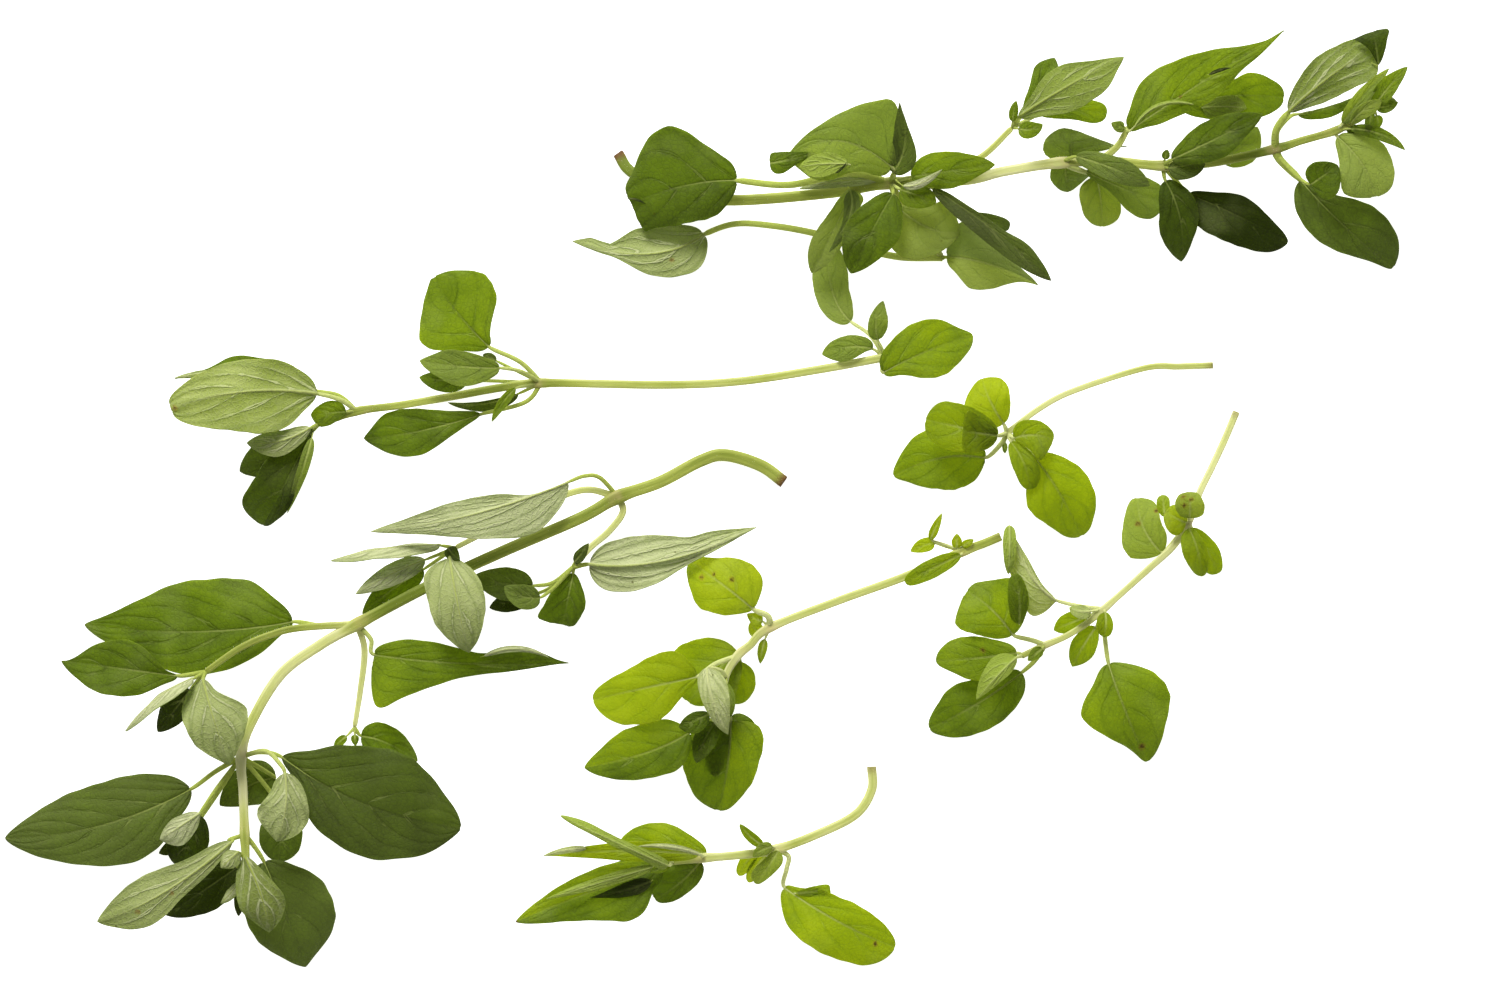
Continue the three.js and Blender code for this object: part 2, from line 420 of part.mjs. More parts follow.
// The small sprig right of the centre, an arched bare stem and a rosette
function smallTopSprig() {
  const joint = [50.4, 11.2, 4];
  return {
    stems: [
      stem([[84.8, 22.5, 0.36], [79.2, 22.3, 0.7], [73.3, 22, 1.6], [61.7, 18.3, 3.4], [56, 15.4, 4],
        joint], 0.42, 0.46),
    ],
    leaves: [
      leaf(joint, [], [49.7, 12.8, 5.4], [47, 16.4, 7.4], [43.9, 19.6, 5.2], 8,
        { round: 0.45, sharp: 0.45 }),
      leaf(joint, [], [49, 10.6, 6.6], [43, 12.2, 9.4], [36.9, 13.6, 7], 8, { round: 0.45, sharp: 0.45 }),
      leaf(joint, [], [48.6, 10.6, 5.2], [45.6, 11, 6], [42.6, 11, 5.6], 5.4, { sharp: 0.5 }),
      leaf(joint, [[49.4, 9.4, 4]], [46.8, 7.3, 3.2], [39.4, 7.1, 3.2], [31.5, 3.8, 0.6], 9.8,
        { sharp: 0.7 }),
      leaf(joint, [], [51.6, 10.6, 5.4], [54.8, 10.7, 7.6], [58.2, 10, 6], 6.2,
        { round: 0.45, sharp: 0.4 }),
      leaf(joint, [], [51.2, 9.6, 5], [52.8, 5.6, 6.4], [54.6, 1.8, 5.4], 4.4),
      leaf(joint, [[52.6, 9.2, 4.2]], [54.8, 7.8, 4], [59.4, 1.2, 4], [63.2, -6.1, 0.4], 10.6,
        { sharp: 0.6 }),
      leaf(joint, [], [50, 9.6, 4], [50, 8.6, 4.2], [50, 7.8, 4], 0.9),
    ],
  };
}

// The small sprig on the right
function smallRightSprig() {
  const joint1 = [80.8, -3.3, 3.4];
  const joint2 = [66.5, -18.2, 4.2];
  const joint3 = [56.7, -24.2, 4.6];
  const tip = [52.8, -26, 5];
  return {
    stems: [
      stem([[88.7, 14.7, 0.5], [86.7, 10, 1.2], [84.5, 5.3, 2.2], [82.5, 1.2, 3], joint1, [78.3, -7.5, 3.6],
        [74.2, -11.3, 3.8], joint2, [63.3, -20.8, 4.4], [60, -22.8, 4.6], joint3, tip], 0.58, 0.44),
    ],
    leaves: [
      // First joint
      leaf(joint1, [], [81, -3, 5.8], [81.4, -0.8, 8], [81.3, 1.4, 7.4], 4.8, { round: 0.45, sharp: 0.4 }),
      leaf(joint1, [], [80.2, -3.6, 4.4], [78.2, -3.1, 5.8], [76.3, -2.4, 5.2], 5.6,
        { round: 0.45, sharp: 0.4 }),
      leaf(joint1, [[78.6, -4, 3.2]], [76.6, -2.9, 3], [76.8, -0.8, 3.4], [76.6, 1, 2.8], 2.6,
        { sharp: 0.45 }),
      leaf(joint1, [[78.6, -6.4, 2.8]], [76.2, -8.6, 2.6], [73.3, -5, 3.2], [72.1, 0.3, 0.4], 7.4,
        { round: 0.45, sharp: 0.45 }),
      leaf(joint1, [], [80.9, -4.6, 4.2], [81.7, -8.8, 5.4], [83.3, -12.7, 3.4], 4.8, { sharp: 0.6 }),
      leaf(joint1, [], [81.3, -4.4, 3], [83.8, -7.8, 2.8], [85.8, -12, 0.4], 5.8, { sharp: 0.5 }),
      // Second joint: a pale folded leaf on a long stalk, a broad hanging one, small ones between
      leaf(joint2, [[62.5, -17.7, 5]], [58.4, -17.3, 6], [53, -12.6, 8.6], [50.6, -4.6, 7.8], 7,
        { roll: 200, fold: 36, sharp: 0.8 }),
      leaf(joint2, [], [63.4, -19.2, 3.4], [60.8, -20.2, 3.2], [58.2, -21.8, 1.6], 3.6),
      leaf(joint2, [], [64.3, -18.6, 5.4], [62.4, -18.6, 6], [60.7, -17.9, 6], 2.6, { roll: 160 }),
      leaf(joint2, [], [66.3, -18.8, 5.2], [67, -20.6, 6.2], [66.9, -22.6, 5.6], 3.2, { sharp: 0.5 }),
      leaf(joint2, [], [65, -20.9, 3.4], [63.2, -24.3, 3.4], [61.7, -27.9, 1], 4.4),
      leaf(joint2, [[66.6, -22, 3.8]], [67.2, -27.2, 3.6], [70.4, -35, 4.6], [73.5, -43.4, 0.4], 14.2,
        { round: 0.56, sharp: 0.66, fold: 6 }),
      // Third joint and tip
      leaf(joint3, [[54.6, -23.4, 5.4]], [52.2, -22.8, 6.4], [47.6, -19, 9], [41.4, -19.8, 5], 10,
        { roll: 6, fold: 14, sharp: 0.6 }),
      leaf(joint3, [[55, -26.8, 4]], [52.5, -28.8, 4], [45.8, -34.3, 4.6], [37.5, -38.4, 0.4], 9.2,
        { fold: 12, sharp: 0.6 }),
      leaf(tip, [], [52, -26.2, 5.8], [45.6, -26.6, 7.6], [38.3, -27, 4.4], 7.4, { fold: 8, sharp: 0.65 }),
      leaf(tip, [], [51.8, -27, 8], [48.9, -29.6, 10.8], [45.4, -32.3, 10.2], 3.6, { roll: 160, fold: 20 }),
      leaf(joint3, [], [56.2, -24.8, 5.8], [55, -25.7, 7], [53.8, -26.8, 7.2], 2),
    ],
  };
}

// The small sprig in the centre
function smallCentreSprig() {
  const joint1 = [43, -8.6, 2.2];
  const joint2 = [10.8, -21.3, 4.2];
  const joint3 = [5.4, -26, 4.8];
  const joint4 = [3.8, -36, 5.4];
  return {
    stems: [
      stem([[49.3, -6.1, 0.5], [46.7, -7.2, 1], joint1, [33.3, -12.8, 2.8], [22.5, -16.7, 3.4], joint2,
        [7.5, -24.2, 4.6], joint3, [3.6, -29, 5.2], [3.2, -32, 5.4], joint4], 0.6, 0.46),
    ],
    leaves: [
      // First joint: a leaf lying along the stem and folded scraps beside it
      leaf(joint1, [], [42.6, -9.2, 3.4], [38.3, -11.2, 4.8], [33.4, -13.8, 4.2], 3.2, { sharp: 0.4 }),
      leaf(joint1, [], [42, -8, 3], [42, -6.8, 3.8], [42, -5.6, 4.2], 1.8),
      leaf(joint1, [], [42.8, -7.8, 2.8], [43.8, -7.2, 3.2], [44.8, -6.6, 3], 1.4),
      leaf(joint1, [[40.4, -7.8, 2.6]], [38.3, -7.2, 2.8], [36.4, -7.6, 3], [34.3, -8.6, 1.4], 2.6,
        { fold: 20 }),
      leaf(joint1, [[40.4, -7.6, 2.8]], [37.6, -6.6, 3.6], [38.4, -4.6, 4.8], [39.5, -2.2, 5], 1.6,
        { fold: 20 }),
      // Second joint: one broad round leaf and small ones
      leaf(joint2, [[10.5, -19.4, 5.4]], [8.6, -18.5, 6], [3.4, -15, 8], [-2.3, -11.2, 3.4], 10.4,
        { round: 0.5, sharp: 0.38, fold: 6 }),
      leaf(joint2, [], [9.6, -20.2, 5], [8.4, -19.8, 5.2], [7, -19, 4.8], 2.2),
      leaf(joint2, [], [9.6, -22.4, 3.6], [8.4, -21.6, 3], [7.6, -20.4, 2.2], 2.6),
      leaf(joint2, [], [10, -23.2, 3.6], [9.5, -25.2, 3.2], [9.2, -27.3, 2], 1.6),
      // Third joint: broad leaves to the left, a pale folded leaf in front
      leaf(joint3, [], [4.2, -25.8, 3.6], [0, -28, 2.8], [-4.2, -31.5, 0.8], 8.8, { sharp: 0.45 }),
      leaf(joint3, [[1.6, -27.4, 6.2]], [-1.2, -29.5, 6.8], [-9.8, -31.7, 8.4], [-18.6, -33.6, 3], 11,
        { round: 0.45, sharp: 0.5, fold: 8 }),
      leaf(joint3, [], [5.8, -27, 3.4], [5.4, -30.4, 1.6], [4.6, -34, 0.4], 6.2, { sharp: 0.5 }),
      leaf([3.6, -29.6, 5.2], [[2.6, -28.4, 7.6]], [1.3, -28.2, 9.4], [1.7, -33, 11.4], [4, -39.2, 9.4], 5,
        { roll: 172, fold: 14 }),
      leaf([3.6, -29.6, 5.2], [], [3.6, -30.6, 7], [4.3, -33.4, 8.4], [4.3, -36.2, 8.2], 1.6),
      // Fourth joint
      leaf(joint4, [[0.8, -36.8, 5.6]], [-2.2, -38, 5.6], [-10.9, -41.8, 6], [-20.3, -44.8, 0.6], 8.2,
        { fold: 12 }),
      leaf(joint4, [], [1.4, -35.6, 8], [-1.6, -36.4, 10], [-4.4, -37.8, 9.6], 3.6),
      leaf(joint4, [], [2.6, -37, 4.6], [2.8, -44, 4.4], [2.6, -51.7, 0.4], 13.2,
        { round: 0.5, sharp: 0.5, fold: 8 }),
      leaf(joint4, [], [1.6, -37.2, 6.4], [-0.2, -40.3, 7.4], [-1.4, -43.8, 6.8], 4.2, { fold: 20 }),
      leaf(joint4, [], [4.6, -36, 3.8], [7, -37.2, 3], [9.4, -39.4, 1], 4.4, { sharp: 0.5 }),
    ],
  };
}

// The small sprig at the bottom
function smallBottomSprig() {
  const joint1 = [11.7, -58.3, 3.8];
  const joint2 = [-0.3, -59.7, 4.8];
  const tip = [-5.4, -60.2, 5.8];
  return {
    stems: [
      stem([[27.8, -44.5, 0.6], [27.8, -48.4, 0.8], [25, -52.6, 1.8], [18.4, -55.9, 3], joint1,
        [5.8, -59.2, 4.4], joint2, tip], 0.68, 0.52),
    ],
    leaves: [
      // First joint: small leaves, and a large one on a curled stalk
      leaf(joint1, [[9.2, -57.2, 5]], [7.9, -56.4, 5.8], [6.7, -55.4, 7], [6, -54, 7.6], 1.8, { fold: 20 }),
      leaf(joint1, [[13.7, -59.2, 3.4], [12.7, -62.6, 2.8]], [13.2, -65, 2.8], [22.2, -70.8, 5],
        [31.8, -74.4, 0.6], 11.2, { round: 0.42, sharp: 0.55, fold: 8 }),
      leaf(joint1, [], [9.6, -60, 3], [8.6, -61.9, 2.6], [7.4, -63.9, 0.8], 3),
      leaf(joint1, [], [8.4, -59.8, 3.8], [7, -61, 3.4], [5.6, -62.6, 1.6], 2.8),
      leaf(joint1, [], [12, -59.2, 4.6], [11.2, -61.2, 5], [9.6, -63.3, 4], 3.8),
      leaf(joint1, [], [11, -58.2, 5.2], [9.6, -58.6, 6.2], [8.2, -59.4, 6.4], 2.2),
      // Second joint and tip: folded leaves over broad ones
      leaf(joint2, [], [0, -59.2, 4], [-7.4, -57.2, 3.2], [-14.3, -57, 1], 7.6, { fold: 4, sharp: 0.55 }),
      leaf(joint2, [], [-1, -59, 6.8], [-14.2, -58.4, 10.2], [-27, -59.3, 7.6], 3.6,
        { roll: 12, fold: 15, sharp: 1.1 }),
      leaf(tip, [], [-6.8, -60.2, 9.8], [-15.3, -56.2, 14.4], [-24, -52.3, 12.6], 3.8,
        { roll: 150, fold: 40 }),
      leaf(tip, [], [-7.4, -61.2, 5.4], [-19.2, -65.5, 5.8], [-31.6, -70.4, 0.4], 9.8,
        { round: 0.32, fold: 18 }),
      leaf(joint2, [], [-0.8, -60.6, 4], [-4, -63.6, 3.6], [-8.6, -66.2, 0.6], 7.2, { sharp: 0.5 }),
      leaf(tip, [], [-10.4, -60.7, 3.6], [-14.2, -61.6, 2.8], [-18, -62.2, 1], 2.8),
      leaf(tip, [], [-5.8, -60.6, 7.2], [-7.6, -61.4, 8.6], [-9.2, -61.8, 8.8], 1.8, { fold: 25 }),
    ],
  };
}

const group = new THREE.Group();
group.add(
  sprig('sprig_broad', broadSprig(), '#5c7038'),
  sprig('sprig_long', longSprig(), '#5f7a36'),
  sprig('sprig_middle', middleSprig(), '#6a8442'),
  sprig('sprig_small_top', smallTopSprig(), '#87a02e'),
  sprig('sprig_small_right', smallRightSprig(), '#84992f'),
  sprig('sprig_small_centre', smallCentreSprig(), '#86a021'),
  sprig('sprig_small_bottom', smallBottomSprig(), '#889b33'),
);

export default group;
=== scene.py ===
import math
from types import SimpleNamespace

import bpy
import numpy as np
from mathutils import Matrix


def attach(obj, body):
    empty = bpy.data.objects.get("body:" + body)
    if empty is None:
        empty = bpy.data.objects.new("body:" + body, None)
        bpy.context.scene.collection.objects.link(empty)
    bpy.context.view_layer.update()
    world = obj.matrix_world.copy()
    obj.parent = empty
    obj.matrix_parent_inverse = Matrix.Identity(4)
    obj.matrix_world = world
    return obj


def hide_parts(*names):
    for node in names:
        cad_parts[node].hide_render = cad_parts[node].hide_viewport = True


# A cut bunch of fresh oregano, spread out flat: seven loose leafy sprigs lying on a pale surface.
# Places and sizes are in millimetres here and become metres when a mesh is made.
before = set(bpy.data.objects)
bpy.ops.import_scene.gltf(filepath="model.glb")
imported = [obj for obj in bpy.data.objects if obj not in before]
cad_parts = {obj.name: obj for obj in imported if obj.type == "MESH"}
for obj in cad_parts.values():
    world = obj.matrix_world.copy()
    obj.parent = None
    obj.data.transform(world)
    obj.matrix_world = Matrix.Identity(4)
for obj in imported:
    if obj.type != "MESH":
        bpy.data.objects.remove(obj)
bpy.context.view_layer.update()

# Driving dimensions
MM = 0.001
BLADE_THICKNESS = 0.3
MARGIN_SHARE = 0.45  # thickness at a blade's margin, as a share of that at its midrib
BLADE_STEP = 0.45  # size of a face on a blade
BLADE_ROWS = (10, 72)  # fewest and most rows of faces along a blade
HALF_BLADE_COLUMNS = (4, 20)  # fewest and most columns of faces on half a blade
MARGIN_STRIP = 0.975  # share of half the width where the narrow last column begins
EVEN_SHARE = 0.4  # how evenly the rows are spread, at 1 they don't gather at the ends
BLUNT_END = 0.003  # share of the midrib where a blade's ends close
NARROW_SHARE = 0.4  # share of the greatest width that narrower parts count as where an edge is fitted
EDGE_SMOOTHING = 7  # rows over which a margin is smoothed
CREASE_ROUNDING = 0.02  # above 0 a folded blade is rounded along its midrib
FULL_WIDTH = 10  # narrower blades have a shallower relief and thinner stalks
MIDRIB_SAMPLES = 33  # points that a midrib's length is measured with
FAR = 9.0  # stands for a point that is near no brown spot

# Relief of a blade
CELL_SWELL = 0.19  # how far the cells between the side veins swell
CELL_FULLNESS = 0.7  # below 1 the cells have flatter tops
CELL_START = 0.7  # how far from the midrib they start
CELL_END_POWER = 5  # the higher, the nearer to the margin they reach
RIB_GROOVE = 0.16
RIB_GROOVE_REACH = 0.35
MARGIN_RIPPLES = ((0.012, 5), (0.008, 13))  # share of half the width, and half waves along the blade
MARGIN_WAVES = (1.5, 2.6)  # fewest and most waves along a margin
WAVE_SHARE = 0.03  # share of the width that the margins wave by
WAVE_POWER = 2.5  # the higher, the nearer to the margin a blade waves
CURL_SHARE = -0.08  # share of half the width that the margins curl up, below 0 down
CURL_POWER = 2.2
UNEVEN_SHARE = 0.012  # share of the width that a blade is uneven by
UNEVEN_WAVES = ((2.3 * math.pi, 1.7), (-2.1, 3.7))  # how fast each wave runs along and across
THINNING_POWER = 3  # the higher, the nearer to the margin a blade thins

# Side veins
VEIN_LEAN = 0.3  # share of the length that a side vein gains on its way to the margin
UNDERSIDE_VEIN_LEAN = 0.42
VEIN_ARCH = 0.3  # and what its arch towards the tip adds to that
VEIN_GAP = 6.8  # between two side veins of a long blade
MIN_VEIN_PAIRS = 3
LEFT_VEINS_BEHIND = 0.2  # share of a vein gap that the left veins are nearer to the base
MAX_VEIN_SHIFT = 0.5  # share of a vein gap that a leaf's veins are shifted by at most
LEAST_HALF_WIDTH = 0.3  # what a narrower half counts as where the slope of its veins is worked out

# Stalks, stems and hairs
STALK_ROOT_RADIUS = 0.46
STALK_END_RADIUS = 0.36
THIN_STALK = 0.6  # share of those radii that the stalk of the narrowest blade has
STALK_AIM = 0.2  # share of the midrib that a stalk's curve aims along
STALK_SIDES = 10
STALK_SAMPLES = 25  # points that a stalk's length is measured with
MIN_STALK_RINGS = 6
STALK_SMOOTHING = 5  # rings over which a stalk runs into its rib
RIB_START = 0.004  # shares of the midrib where the raised rib starts and ends
RIB_END = 0.93
RIB_SHARE = 0.55  # share of the stalk's end radius that the rib starts with
RIB_TAPER = 0.8
RIB_TIP_RADIUS = 0.05
RIB_SINK = 0.1  # how deep the rib sits in the underside
STEM_STEP = 0.5
STEM_SIDES = 24
STEM_SAMPLES = 20  # to each given point, for measuring a stem's length
MIN_STEM_STEPS = 8
SQUARENESS = 3.4  # 2 would give a round stem
STEM_GROOVE = 0.05  # share of its radius that the flat sides of a stem are drawn in
LATE_TAPER = 2  # above 1 a stem keeps its root's width for longer
SHOOT_END = 0.5  # share of its tip radius that a shoot closes with
JOINT_SWELL = 0.2  # share of its radius that a stem swells at a joint
JOINT_REACH = 1.7
HAIRS_PER_MM = 9
HAIR_LENGTH = 0.5
HAIR_REACH = (0.35, 0.85)  # shortest and longest share of that length
HAIR_LEAN = 0.5  # how far at most a hair leans along the stem
HAIR_RADIUS = 0.018
HAIR_ROOT = 0.98  # share of the stem's radius where a hair starts
LOWEST = 0.03  # nothing comes nearer to the surface than this

# The photo's frame, and where the origin falls in it
PHOTO_WIDTH = 1500
PHOTO_HEIGHT = 1000
PIXELS_PER_MM = 6
ORIGIN_X = 705
ORIGIN_Y = 500

# Studio, in metres
LENS = 400
SENSOR = 36
SPRIG_HEIGHT = 0.006  # height at which the view is as wide as the photo
FLOOR_SIDE = 6
FLOOR_GAP = 0.0001
FLOOR_GREY = 236
FLOOR_ROUGHNESS = 0.9
FLOOR_GLOW = 0.9
AMBIENT = 0.32
KEY_PLACE = (-0.3, 1.15, 0.9)
KEY_SIZE = 0.6
KEY_POWER = 34

# Tones: how light and yellow the upper face is, how pale the underside is, and how dull the upper face
# is, which on the underside says how yellow-green it is instead
# The tone below is painted shade: leaves that lie under others, and thin dark strips laid where there is only
# shade
IN_SHADOW = (0.0, 0.2, 0.0)
SHADE = (0.35, 0.3, 0.3)
DARK = (0.28, 0.5, 0.15)
DEEP = (0.3, 0.5, 0.0)
DUSKY = (0.26, 0.5, 0.3)
GREEN = (0.45, 0.5, 0.0)
FRESH = (0.62, 0.5, 0.0)
BRIGHT = (0.8, 0.5, 0.0)
LIME = (1.0, 0.7, 0.0)
SOFT = (0.66, 0.5, 0.45)
PALE = (0.85, 0.5, 0.5)
HAZY = (0.8, 0.5, 0.8)
OLIVE = (0.5, 0.3, 0.4)
MUTED = (0.5, 0.2, 0.4)
MILKY = (0.5, 1.0, 0.0)
SAGE = (0.5, 0.6, 0.0)
MOSS = (0.5, 0.2, 0.0)
GLASSY = (1.0, 0.85, 0.0)
FROSTED = (1.0, 0.8, 0.4)
GRASSY = (0.9, 0.4, 1.0)
TONE_SPREAD = 0.03  # how much lighter or darker one leaf is than another of the same tone


def stem(points, root, tip, joints=(), cut=None, green=((0, 0.3), (1, 0.2))):
    """A stem or side shoot through points, its radius going from root to tip, swollen at its joints.

    cut says how brown its start is, and green how green it is at shares of the way along it: partly the
    stem's own colour, partly painted shade where leaves shade it and painted light where it lies in shade.
    """
    return {"points": points, "root": root, "tip": tip, "joints": joints, "cut": cut, "green": green}


def leaf(start, base, mid, tip, width, tone, via=(), **shape):
    """A leaf whose stalk leaves the stem at start, passes through via and enters the blade at base."""
    standard = {
        "roll": 0,  # degrees, 0 has the upper face up and 180 the underside
        "fold": 10,  # degrees that both halves lift
        "blunt": 0.5,  # the lower, the fuller the base
        "sharp": 0.8,  # the higher, the slimmer the tip
        "quilt": 1.0,  # how far the cells between the side veins swell
        "stalk": 1.0,  # how thick the stalk is
        "edge": (),  # points that the margin passes through, seen from above
        "ascend": 1.0,  # above 1 the side veins run more along the blade
        # lit is painted light and shade: a half or tip made lighter or darker for how the light falls on it
        "lit": (0, 0, 0),  # how much lighter the left half, the right half and the tip are
        "spots": (),  # brown spots: shares along the blade and across half of it, and a radius
    }
    return {
        "start": start,
        "via": via,
        "base": base,
        "mid": mid,
        "tip": tip,
        "width": width,
        "tone": tone,
        **standard,
        **shape,
    }


def turned(*places, **shape):
    """A leaf that lies with its underside up."""
    return leaf(*places, roll=180, **shape)


def triples(shape, *values):
    """Three numbers for each point of a grid, from numbers and arrays that spread over it."""
    return np.stack([np.broadcast_to(value, shape) for value in values], -1)


def face_corners(first, rows, sides):
    """The corners of each face between rings of points: two on one ring and two on the next."""
    i, j = np.meshgrid(np.arange(rows - 1), np.arange(sides), indexing="ij")
    a = first + i * sides + j
    b = first + i * sides + (j + 1) % sides
    return a, b, a + sides, b + sides


class Shell:
    """Points, faces and per-point notes of one piece, gathered sheet by sheet."""

    def __init__(self):
        self.points = []
        self.quads = []
        self.triangles = []
        self.notes = {}
        self.count = 0

    def add(self, points, notes):
        first = self.count
        self.points.append(points.reshape(-1, 3))
        for name, values in notes.items():
            self.notes.setdefault(name, []).append(values.reshape(-1, 3))
        self.count += points.size // 3
        return first

    def tube(self, rings, notes):
        """A closed skin over rings of points, with a fan at each end."""
        rows, sides = rings.shape[:2]
        first = self.add(rings, notes)
        a, b, next_a, next_b = face_corners(first, rows, sides)
        self.quads.append(np.stack([a, next_a, next_b, b], -1).reshape(-1, 4))
        for row, turn in ((0, 1), (rows - 1, -1)):
            hub = self.add(rings[row].mean(0)[None], {n: v[row].mean(0)[None] for n, v in notes.items()})
            around = first + row * sides + np.arange(sides)
            fan = np.stack([np.full(sides, hub), around, np.roll(around, -1)], -1)
            self.triangles.append(fan[:, ::turn])

    def blade(self, upper, lower, notes_up, notes_low):
        """A thin closed body between an upper and a lower sheet of points."""
        rows, columns = upper.shape[:2]
        rings = np.concatenate([upper, lower[:, ::-1]], 1)
        notes = {n: np.concatenate([notes_up[n], notes_low[n][:, ::-1]], 1) for n in notes_up}
        first = self.add(rings, notes)
        sides = 2 * columns
        a, b, next_a, next_b = face_corners(first, rows, sides)
        self.quads.append(np.stack([a, b, next_b, next_a], -1).reshape(-1, 4))
        j = np.arange(columns - 1)
        for row, turn in ((0, 1), (rows - 1, -1)):
            start = first + row * sides
            cap = np.stack([start + j, start + sides - 1 - j, start + sides - 2 - j, start + j + 1], -1)
            self.quads.append(cap[:, ::turn])

    def object(self, name, material):
        """The piece as a smooth object in metres, with its notes as attributes."""
        points = np.concatenate(self.points)
        points[:, 2] = np.maximum(points[:, 2], LOWEST)
        quads = np.concatenate(self.quads)
        triangles = np.concatenate(self.triangles)
        mesh = bpy.data.meshes.new(name)
        mesh.vertices.add(len(points))
        mesh.vertices.foreach_set("co", (points * MM).astype(np.float32).ravel())
        corners = np.concatenate([quads.ravel(), triangles.ravel()])
        mesh.loops.add(len(corners))
        mesh.loops.foreach_set("vertex_index", corners.astype(np.int32))
        sizes = np.concatenate([np.full(len(quads), 4), np.full(len(triangles), 3)])
        mesh.polygons.add(len(sizes))
        mesh.polygons.foreach_set("loop_start", (np.cumsum(sizes) - sizes).astype(np.int32))
        mesh.polygons.foreach_set("use_smooth", np.ones(len(sizes), bool))
        mesh.update(calc_edges=True)
        mesh.validate()
        for note, parts in self.notes.items():
            attribute = mesh.attributes.new(note, "FLOAT_VECTOR", "POINT")
            attribute.data.foreach_set("vector", np.concatenate(parts).astype(np.float32).ravel())
        mesh.materials.append(material)
        made = bpy.data.objects.new(name, mesh)
        bpy.context.scene.collection.objects.link(made)
        return made


def through(points, shares):
    """Points at shares of the way along the smooth curve through points."""
    known = np.array(points, float)
    known = np.concatenate([[2 * known[0] - known[1]], known, [2 * known[-1] - known[-2]]])
    spans = len(points) - 1
    along = np.clip(np.asarray(shares), 0, 1) * spans
    span = np.minimum(along.astype(int), spans - 1)
    t = (along - span)[:, None]
    x0, x1, x2, x3 = (known[span + k] for k in range(4))
    leave = (x2 - x0) / 2
    arrive = (x3 - x1) / 2
    square = -3 * x1 + 3 * x2 - 2 * leave - arrive
    cube = 2 * x1 - 2 * x2 + leave + arrive
    return x1 + leave * t + square * t**2 + cube * t**3


def lengths_along(points):
    return np.concatenate([[0], np.cumsum(np.linalg.norm(np.diff(points, axis=0), axis=1))])


def unit(vectors):
    return vectors / np.maximum(np.linalg.norm(vectors, axis=-1, keepdims=True), 1e-9)


def bell(distance, reach):
    """1 at no distance, falling to nothing a little beyond reach."""
    return np.exp(-((distance / reach) ** 2))


def smoothed(values, width):
    """The running mean of an odd number of values."""
    return np.convolve(np.pad(values, width // 2, mode="edge"), np.full(width, 1 / width), mode="valid")


def angles_around(sides, start=0.0):
    return (np.arange(sides) + start) * 2 * math.pi / sides


def frames_across(points, roll):
    """Right and up across the line of points, turned about it by roll degrees."""
    tangents = unit(np.gradient(points, axis=0))
    right = unit(np.cross(tangents, [0, 0, 1]))
    up = np.cross(right, tangents)
    angle = np.radians(np.broadcast_to(roll, len(points)))[:, None]
    cos, sin = np.cos(angle), np.sin(angle)
    return right * cos + up * sin, up * cos - right * sin


def ring_points(centres, right, up, radii, angles):
    across = right[:, None] * np.cos(angles)[None, :, None]
    over = up[:, None] * np.sin(angles)[None, :, None]
    return centres[:, None] + (across + over) * radii[..., None]


def midrib_through(base, mid, tip):
    """The arch of a midrib, as a function of shares of the way from base to tip."""
    base, mid, tip = (np.array(place, float) for place in (base, mid, tip))
    bend = 2 * mid - (base + tip) / 2

    def midrib(shares):
        t = np.asarray(shares, float)[:, None]
        return base * (1 - t) ** 2 + bend * 2 * t * (1 - t) + tip * t**2

    return midrib


def rows_along(length):
    """Shares of the midrib where a blade has a row of points, closer together near both ends."""
    rows = int(np.clip(length / BLADE_STEP, *BLADE_ROWS))
    even = np.linspace(0, 1, rows + 1)
    gathered = (1 - np.cos(math.pi * even)) / 2
    return np.clip(EVEN_SHARE * even + (1 - EVEN_SHARE) * gathered, BLUNT_END, 1 - BLUNT_END)


def columns_across(width):
    """Shares of half the width where a blade has a column of points, from margin to margin."""
    columns = int(np.clip(width / BLADE_STEP / 2, *HALF_BLADE_COLUMNS)) * 2 + 1
    inner = np.linspace(-1, 1, columns)[1:-1]
    return np.concatenate([[-1, -MARGIN_STRIP], inner, [MARGIN_STRIP, 1]])


def outline(t, blunt, sharp):
    """Half the width of a blade at t, as a share of half its greatest width."""
    widest = blunt / (blunt + sharp)
    return (t / widest) ** blunt * ((1 - t) / (1 - widest)) ** sharp


def margin_factors(spec, t, centres, right, half, rng):
    """What each half of a blade is widened by along its length, so that it meets the points of its edge."""
    phase = rng.uniform(0, 2 * math.pi, (2, 2))
    flat = np.linalg.norm(right[:, :2], axis=1) * math.cos(math.radians(spec["fold"]))
    reach = np.maximum(half, NARROW_SHARE * half.max()) * flat
    known = ([], [])
    for point in spec["edge"]:
        away = np.array(point) - centres[:, :2]
        gap = np.linalg.norm(away, axis=1)
        row = gap.argmin()
        half_number = int(away[row] @ right[row, :2] > 0)
        known[half_number].append((t[row], gap[row] / reach[row]))
    factors = []
    for places, phases in zip(known, phase):
        factor = np.ones(len(t))
        if places:
            factor = smoothed(np.interp(t, *zip(*sorted(places))), EDGE_SMOOTHING)
        ripples = zip(MARGIN_RIPPLES, phases)
        uneven = sum(share * np.sin(beats * math.pi * t + start) for (share, beats), start in ripples)
        factors.append(factor * (1 + uneven))
    return factors


